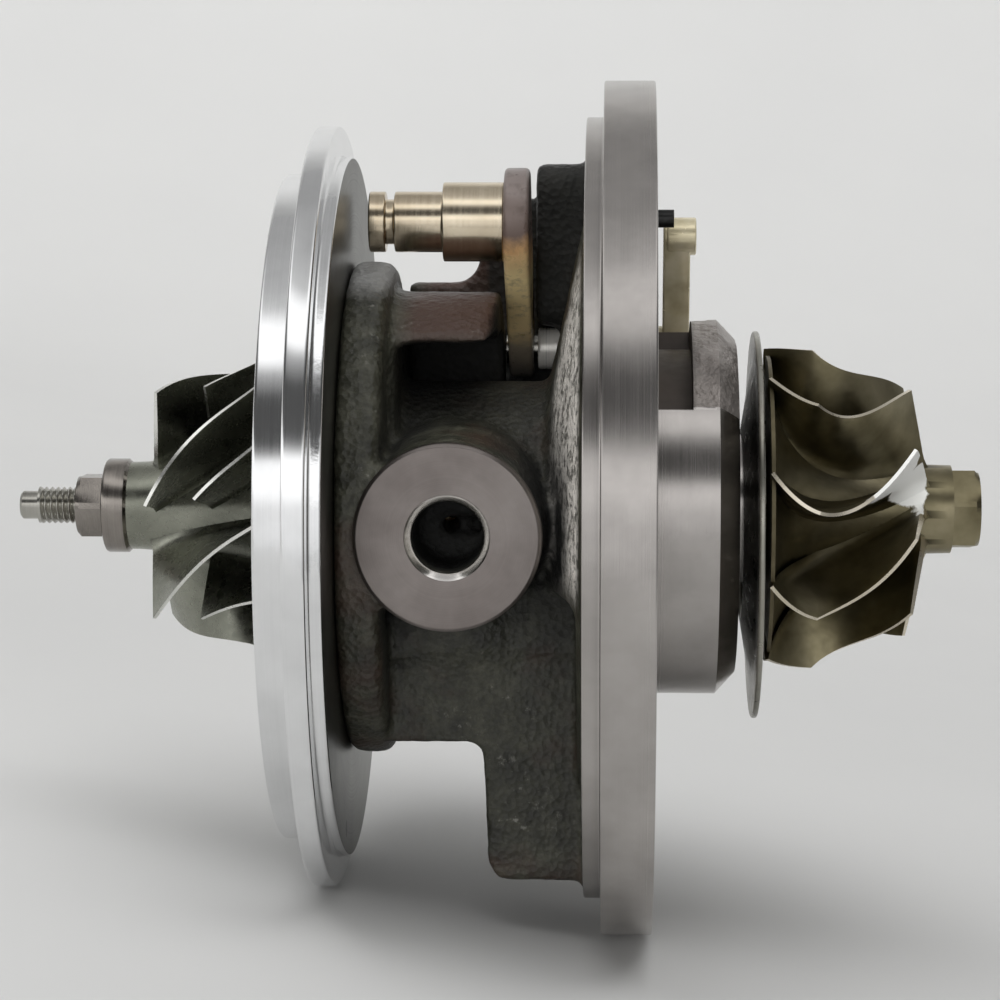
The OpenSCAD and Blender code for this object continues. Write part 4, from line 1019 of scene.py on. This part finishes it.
def hexagon(apothem, first_degrees):
    """Limits a radius to a hexagon."""
    def limit(r, angle):
        turn = (angle - math.radians(first_degrees)) % (math.pi / 3) - math.pi / 6
        return min(r, apothem / math.cos(turn))
    return limit


# %% Turbine wheel with its hexagon nose
turb_hex = hexagon(5.0, 50)
hex_corner_r, hex_end_r, hex_chamfer = 5.8, 4.9, 0.7


def turb_shape(x, r, angle):
    return turb_hex(r, angle) if x > x_nose_end else r


turb_line = [turb_hub(i / HUB_STEPS) for i in range(HUB_STEPS + 1)]
turb_corners = [
    (x_nose_end, turb_hub_r - 0.1), (x_nose_end + 0.02, hex_corner_r), (x_hex_end - hex_chamfer, hex_corner_r),
    (x_hex_end, hex_end_r), (x_hex_end, 0), (x_weld, 0), (x_weld, seal_hub_r), (x_turb - 1, seal_hub_r),
    (x_turb, seal_hub_r + 2), (x_turb, disc_r)]
turb_points, turb_faces = swept(turb_line + turb_corners, 180, (0, 0), turb_shape)
# The disc's faces take the darker olive finish.
disc_picks = [int(max(turb_points[v][0] for v in face) < x_turb + disc_t + 0.02) for face in turb_faces]
turb_hub_mesh = finished_mesh("turbine_hub", turb_points, turb_faces, [turbine_finish, disc_finish], disc_picks)
turb_blade = blade_mesh("turbine_blade", turb_mid, turb_half, 0.0, 36, 16, [turbine_finish, turbine_land])
turb_wheel = joined("turbine_wheel_bladed", [
    turb_hub_mesh, ring_of(turb_blade, TURB_BLADES, 0, turbine_finish, turbine_land)])
# Painted shade in the channels between the blades and under the nose.
store_hollow_shade(turb_wheel, 14)
show("turbine_wheel_bladed", turb_wheel, "rotor", ["turbine_wheel"])

# %% [markdown]
# ## Nut and threaded shaft
# The nut holds the compressor wheel on the shaft. A thread is a groove that climbs as it goes round, so its depth
# depends on the place along the shaft and on the angle together.

# %% Nut
nut_limit = hexagon(4.0, 0)
x_nut = nut_rear - 3.4
nut_bore_r, nut_chamfer_r, nut_corner_r, nut_flange_r = 2.52, 3.9, 4.62, 6.35


def nut_shape(x, r, angle):
    return nut_limit(r, angle) if x < x_nut - 0.01 and r > 3 else r


nut_profile = [
    (x_nut_hex, nut_bore_r), (x_nut_hex, nut_chamfer_r), (x_nut_hex + 0.6, nut_corner_r),
    (x_nut - 0.3, nut_corner_r), (x_nut - 0.02, nut_corner_r), (x_nut, 5.9), (x_nut + 0.15, 6.2),
    (x_nut + 0.45, nut_flange_r), (nut_rear - 0.4, nut_flange_r), (nut_rear, nut_flange_r - 0.4),
    (nut_rear, nut_bore_r)]
nut_points, nut_faces = swept(nut_profile, 144, (0, 0), nut_shape)
show("compressor_nut_hexagon", finished_mesh("compressor_nut_hexagon", nut_points, nut_faces, [nut_finish]),
     "rotor", ["compressor_nut"])

# %% Shaft with its thread
PITCH = 0.8
THREAD_DEPTH = 0.42
thread_r, tip_r, journal_r = 2.5, 1.9, 4.0
x_thread = x_tip + 2.4
x_thread_end = x_nut_hex + 1.2
x_collar, x_cone, x_seal, x_ring, x_ring_end, ring_r = -33.1, 1, 3, 6.0, 7.5, 6.6


def thread_shape(x, r, angle):
    """Cuts a groove that climbs by one pitch a turn and fades in at the tip."""
    if not x_thread + 0.05 < x < x_thread_end or r < tip_r + 0.2:
        return r
    phase = (x / PITCH - angle / (2 * math.pi)) % 1
    ease = min(1, (x - x_thread) / PITCH)
    return r - THREAD_DEPTH * ease * (1 - abs(2 * phase - 1)) ** 1.2


thread_line = [(x, thread_r) for x in np.arange(x_thread + 0.1, x_thread_end, PITCH / 10)]
shaft_profile = [(x_tip, 0), (x_tip, tip_r - 0.3), (x_tip + 0.3, tip_r), (x_thread, tip_r), (x_thread + 0.05, 2.1)]
shaft_profile += thread_line + [
    (x_collar, thread_r), (x_collar, journal_r), (x_cone, journal_r), (x_seal, seal_hub_r), (x_ring, seal_hub_r),
    (x_ring, ring_r), (x_ring_end, ring_r), (x_ring_end, seal_hub_r), (x_weld, seal_hub_r), (x_weld, 0)]
shaft_points, shaft_faces = swept(shaft_profile, 96, (0, 0), thread_shape)
shaft_mesh = finished_mesh("rotor_shaft_threaded", shaft_points, shaft_faces, [steel_finish], None, 40)
# Painted shade: the roots of the thread go dark where the mesh is closed in.
store_hollow_shade(shaft_mesh, 0.8)
show("rotor_shaft_threaded", shaft_mesh, "rotor", ["rotor_shaft"])

# %% [markdown]
# ## Crank lever and vane crank
# Both levers are flat plates with two round ends. Their outlines are drawn from the two axes, so they stay on the
# spindle and the pin.

# %% Flat links


def link_outline(c1, r1, c2, r2, n=24):
    """Two round ends joined by their common tangents."""
    c1, c2 = np.array(c1, float), np.array(c2, float)
    d = c2 - c1
    heading = math.atan2(d[1], d[0])
    g = math.acos((r1 - r2) / np.linalg.norm(d))
    turns = [(c1, r1, heading + g, heading + 2 * math.pi - g), (c2, r2, heading - g, heading + g)]
    return [c + r * np.array((math.cos(a), math.sin(a)))
            for c, r, a0, a1 in turns for a in np.linspace(a0, a1, n)]


def plate_mesh(name, outline, x0, x1, material, edge):
    """A flat plate across the shaft with its edges rounded."""
    mesh = bpy.data.meshes.new(name)
    made = bmesh.new()
    base = made.faces.new([made.verts.new((x0 * MM, y * MM, z * MM)) for y, z in outline])
    top = bmesh.ops.extrude_face_region(made, geom=[base])
    moved = [v for v in top["geom"] if isinstance(v, bmesh.types.BMVert)]
    bmesh.ops.translate(made, verts=moved, vec=((x1 - x0) * MM, 0, 0))
    bmesh.ops.recalc_face_normals(made, faces=made.faces)
    rims = [e for e in made.edges if abs(e.verts[0].co.x - e.verts[1].co.x) < CLOSE]
    bmesh.ops.bevel(made, geom=rims, offset=edge * MM, segments=4, profile=0.5, affect="EDGES")
    made.to_mesh(mesh)
    made.free()
    mesh.materials.append(material)
    smooth_but_sharp(mesh, BLADE_SHARP)
    return mesh


# %% Crank lever
lever_head_r, lever_foot_r, lever_edge = 7.2, 4.0, 0.6
pivot_mm = [c / MM for c in pivot[1:]]
lever_outline = link_outline(pin_mm, lever_head_r, pivot_mm, lever_foot_r)
lever_mesh = plate_mesh("crank_lever_plate", lever_outline, x_lever_out, x_lever, lever_finish, lever_edge)
show("crank_lever_plate", lever_mesh, "crank", ["crank_lever"])

# %% Vane crank
crank_front, crank_rear = span("vane_crank")
ARM_X, HEAD_X, ARM_EDGE = (1.4, 5.1), (1.9, 5.9), 0.35
arm_len, arm_turn = 17.2, math.radians(112.0)
arm_foot_r, arm_tip_r, head_r, boss_r, spindle_hole_r = 2.7, 2.2, 2.6, 3.2, 2.25
arm_tip = [pivot_mm[0] + arm_len * math.cos(arm_turn), pivot_mm[1] + arm_len * math.sin(arm_turn)]
arm_outline = link_outline(pivot_mm, arm_foot_r, arm_tip, arm_tip_r)
arm = plate_mesh("vane_crank_arm", arm_outline, *ARM_X, crank_finish, ARM_EDGE)
rounds = []
for label, centre, (front, rear), inner, outer in (
        ("head", arm_tip, HEAD_X, 0.0, head_r),
        ("boss", pivot_mm, (crank_front, crank_rear), spindle_hole_r, boss_r)):
    points, faces = swept(rounded([(front, inner), (front, outer), (rear, outer), (rear, inner)], 0.3), 64, centre)
    rounds.append(finished_mesh("vane_crank_" + label, points, faces, [crank_finish]))
show("vane_crank_cast", joined("vane_crank_cast", [arm] + rounds), "crank", ["vane_crank"])

# %% Bush of the spindle
x_bush_end, x_boss, bush_r, bush_lip_r = -16.0, -12.9, 3.4, 2.9
bush_rear = span("crank_bush")[1]
turned_piece("crank_bush_turned", [
    (x_bush_end, spindle_hole_r), (x_bush_end, bush_lip_r), (x_boss, bush_lip_r), (x_boss, bush_r),
    (bush_rear, bush_r), (bush_rear, spindle_hole_r)],
    bush_finish, "housing", ["crank_bush"], 0.5, 96, pivot_mm)

# %% [markdown]
# ## Casting
# A sand casting has no sharp edge: every corner is filled or rubbed round. Its solid is copied, cut off behind the
# turned flange, rebuilt on a fine grid and smoothed, and then its skin is roughened with a little noise.

# %% Cast body on a fine grid
VOXEL = 0.65 * MM
CAST_END = -7.2 * MM
SOFTEN_ROUNDS, SOFTEN_STEP = 7, 0.5
cast = nodes["centre_housing"].data.copy()
cast.name = "housing_casting"
made = bmesh.new()
made.from_mesh(cast)
bmesh.ops.remove_doubles(made, verts=made.verts, dist=1e-6)
cut = bmesh.ops.bisect_plane(
    made, geom=made.verts[:] + made.edges[:] + made.faces[:], plane_co=(CAST_END, 0, 0), plane_no=(1, 0, 0),
    clear_outer=True)
bmesh.ops.triangle_fill(
    made, edges=[e for e in cut["geom_cut"] if isinstance(e, bmesh.types.BMEdge)], use_beauty=True)
made.to_mesh(cast)
made.free()
casting = bpy.data.objects.new("housing_casting", cast)
scene.collection.objects.link(casting)
remesh = casting.modifiers.new("grid", "REMESH")
remesh.mode = "VOXEL"
remesh.voxel_size = VOXEL
soften = casting.modifiers.new("soften", "SMOOTH")
soften.factor = SOFTEN_STEP
soften.iterations = SOFTEN_ROUNDS
graph = bpy.context.evaluated_depsgraph_get()
cast_mesh = bpy.data.meshes.new_from_object(casting.evaluated_get(graph))
bpy.data.objects.remove(casting)
print("points of the casting:", len(cast_mesh.vertices))

# %% [markdown]
# Two places need more smoothing than the rest: the upper edge of the pocket and the crease under the inlet, where the
# sand left wide fillets. Each point there moves towards the middle of its neighbours, many times over, and the
# effect fades out at the borders of the two boxes.

# %% Wide fillets
SOFT = [((-33.0, -19.5), (-45, -5), (17, 28)), ((-33.0, -18), (-45, -14), (-23, -13))]
SOFT_FADE, SOFT_ROUNDS = 1.5 * MM, 40
count = len(cast_mesh.vertices)
spots = np.zeros(count * 3)
cast_mesh.vertices.foreach_get("co", spots)
spots = spots.reshape(-1, 3)
pairs = np.zeros(len(cast_mesh.edges) * 2, int)
cast_mesh.edges.foreach_get("vertices", pairs)
ends, others = np.concatenate([pairs[0::2], pairs[1::2]]), np.concatenate([pairs[1::2], pairs[0::2]])
degree = np.bincount(ends, minlength=count)
weight = np.zeros(count)
for limits in SOFT:
    inside = np.ones(count)
    for axis, (low, high) in enumerate(limits):
        depth = np.minimum(spots[:, axis] - low * MM, high * MM - spots[:, axis])
        inside *= np.clip(depth / SOFT_FADE, 0, 1)
    weight = np.maximum(weight, inside)
for _ in range(SOFT_ROUNDS):
    middle = np.stack([np.bincount(ends, spots[others, axis], count) / degree for axis in range(3)], axis=1)
    spots += SOFTEN_STEP * weight[:, None] * (middle - spots)
cast_mesh.vertices.foreach_set("co", spots.ravel())
cast_mesh.update()
print("points in wide fillets:", int((weight > 0).sum()))

# %% Sandy skin
SKIN = [(0.10 * MM, 420.0), (0.05 * MM, 1100.0)]
BOSS_FLAT, BOSS_REACH = -32.2 * MM, 13 * MM
# The reach of the painted shade on the casting, in millimetres, is the second number.
CAST_SHARP, CAST_SHADE_REACH = 60, 16
facing = np.zeros(count * 3)
cast_mesh.vertices.foreach_get("normal", facing)
facing = facing.reshape(-1, 3)
inlet_x = inlet["pos_m"][0]
in_boss = np.hypot(spots[:, 0] - inlet_x, spots[:, 2]) < BOSS_REACH
spots[in_boss, 1] = np.maximum(spots[in_boss, 1], BOSS_FLAT)
rough = np.array([sum(size * noise.noise(Vector(p) * scale) for size, scale in SKIN) for p in spots])
spots += facing * rough[:, None]
away = np.maximum(np.hypot(spots[:, 1], spots[:, 2]), 1e-6)
shrink = np.where(spots[:, 0] > (x_neck - 0.5) * MM, np.minimum(1, CAST_R * MM / away), 1)
spots[:, 1:] *= shrink[:, None]
cast_mesh.vertices.foreach_set("co", spots.ravel())
cast_mesh.materials.clear()
cast_mesh.materials.append(iron_finish)
cast_mesh.update()
smooth_but_sharp(cast_mesh, CAST_SHARP)
# Painted shade, partly oil stains, in the hollows of the casting.
store_hollow_shade(cast_mesh, CAST_SHADE_REACH, [flange_mesh])
show("housing_casting", cast_mesh, "housing", ["centre_housing"])

# %% [markdown]
# ## Machined inlet face
# The boss of the oil inlet is milled flat and tapped. Its face is a separate crisp ring, set into the casting.

# %% Oil inlet
inlet_r = inlet["dims"]["r_mm"]
inlet_face, inlet_boss_r, mouth_w, mouth_depth, ring_depth, proud = 33.0, 11.6, 0.9, 0.85, 1.4, 0.05
inlet_profile = rounded([
    (inlet_face + proud, inlet_r + mouth_w), (inlet_face + proud, inlet_boss_r - 0.2),
    (inlet_face - 0.3, inlet_boss_r + 0.2), (inlet_face - ring_depth, inlet_boss_r + 0.3),
    (inlet_face - ring_depth, inlet_r), (inlet_face - mouth_depth, inlet_r)], 0.1)
inlet_points, inlet_faces = swept(inlet_profile, 128)
# Painted highlight: the faces of the mouth take the lighter finish.
mouth_highlight_picks = [int(max(math.hypot(*inlet_points[v][1:]) for v in face) < inlet_r + mouth_w) for face in inlet_faces]
inlet_points = [(inlet_x / MM + y, -x, z) for x, y, z in inlet_points]
inlet_mesh = finished_mesh("oil_inlet_face", inlet_points, inlet_faces, [boss_finish, mouth_highlight_finish], mouth_highlight_picks)
show("oil_inlet_face", inlet_mesh, "housing", ["centre_housing"])

# %% [markdown]
# ## Inner pieces
# The bearings, rings, pins and screws sit inside the housing. Their solids are right as they are, so they only
# take a finish.

# %% Finishes of the solids that stay
inner_finish = {
    "backplate_seal": rubber_finish, "backplate_screws": steel_finish, "thrust_collar": steel_finish,
    "oil_flinger": steel_finish, "thrust_bearing": bronze_finish, "thrust_pins": steel_finish,
    "oil_deflector": steel_finish, "journal_bearing_compressor": bronze_finish,
    "journal_bearing_turbine": bronze_finish, "bearing_spacer": steel_finish, "bearing_rings": steel_finish,
    "compressor_piston_ring": dark_finish, "turbine_piston_ring": dark_finish, "crank_spindle": steel_finish,
    "nozzle_dowel": dark_finish,
}
for name, finish in inner_finish.items():
    mesh = nodes[name].data
    mesh.materials.clear()
    mesh.materials.append(finish)
print("finishes on solids:", len(inner_finish))
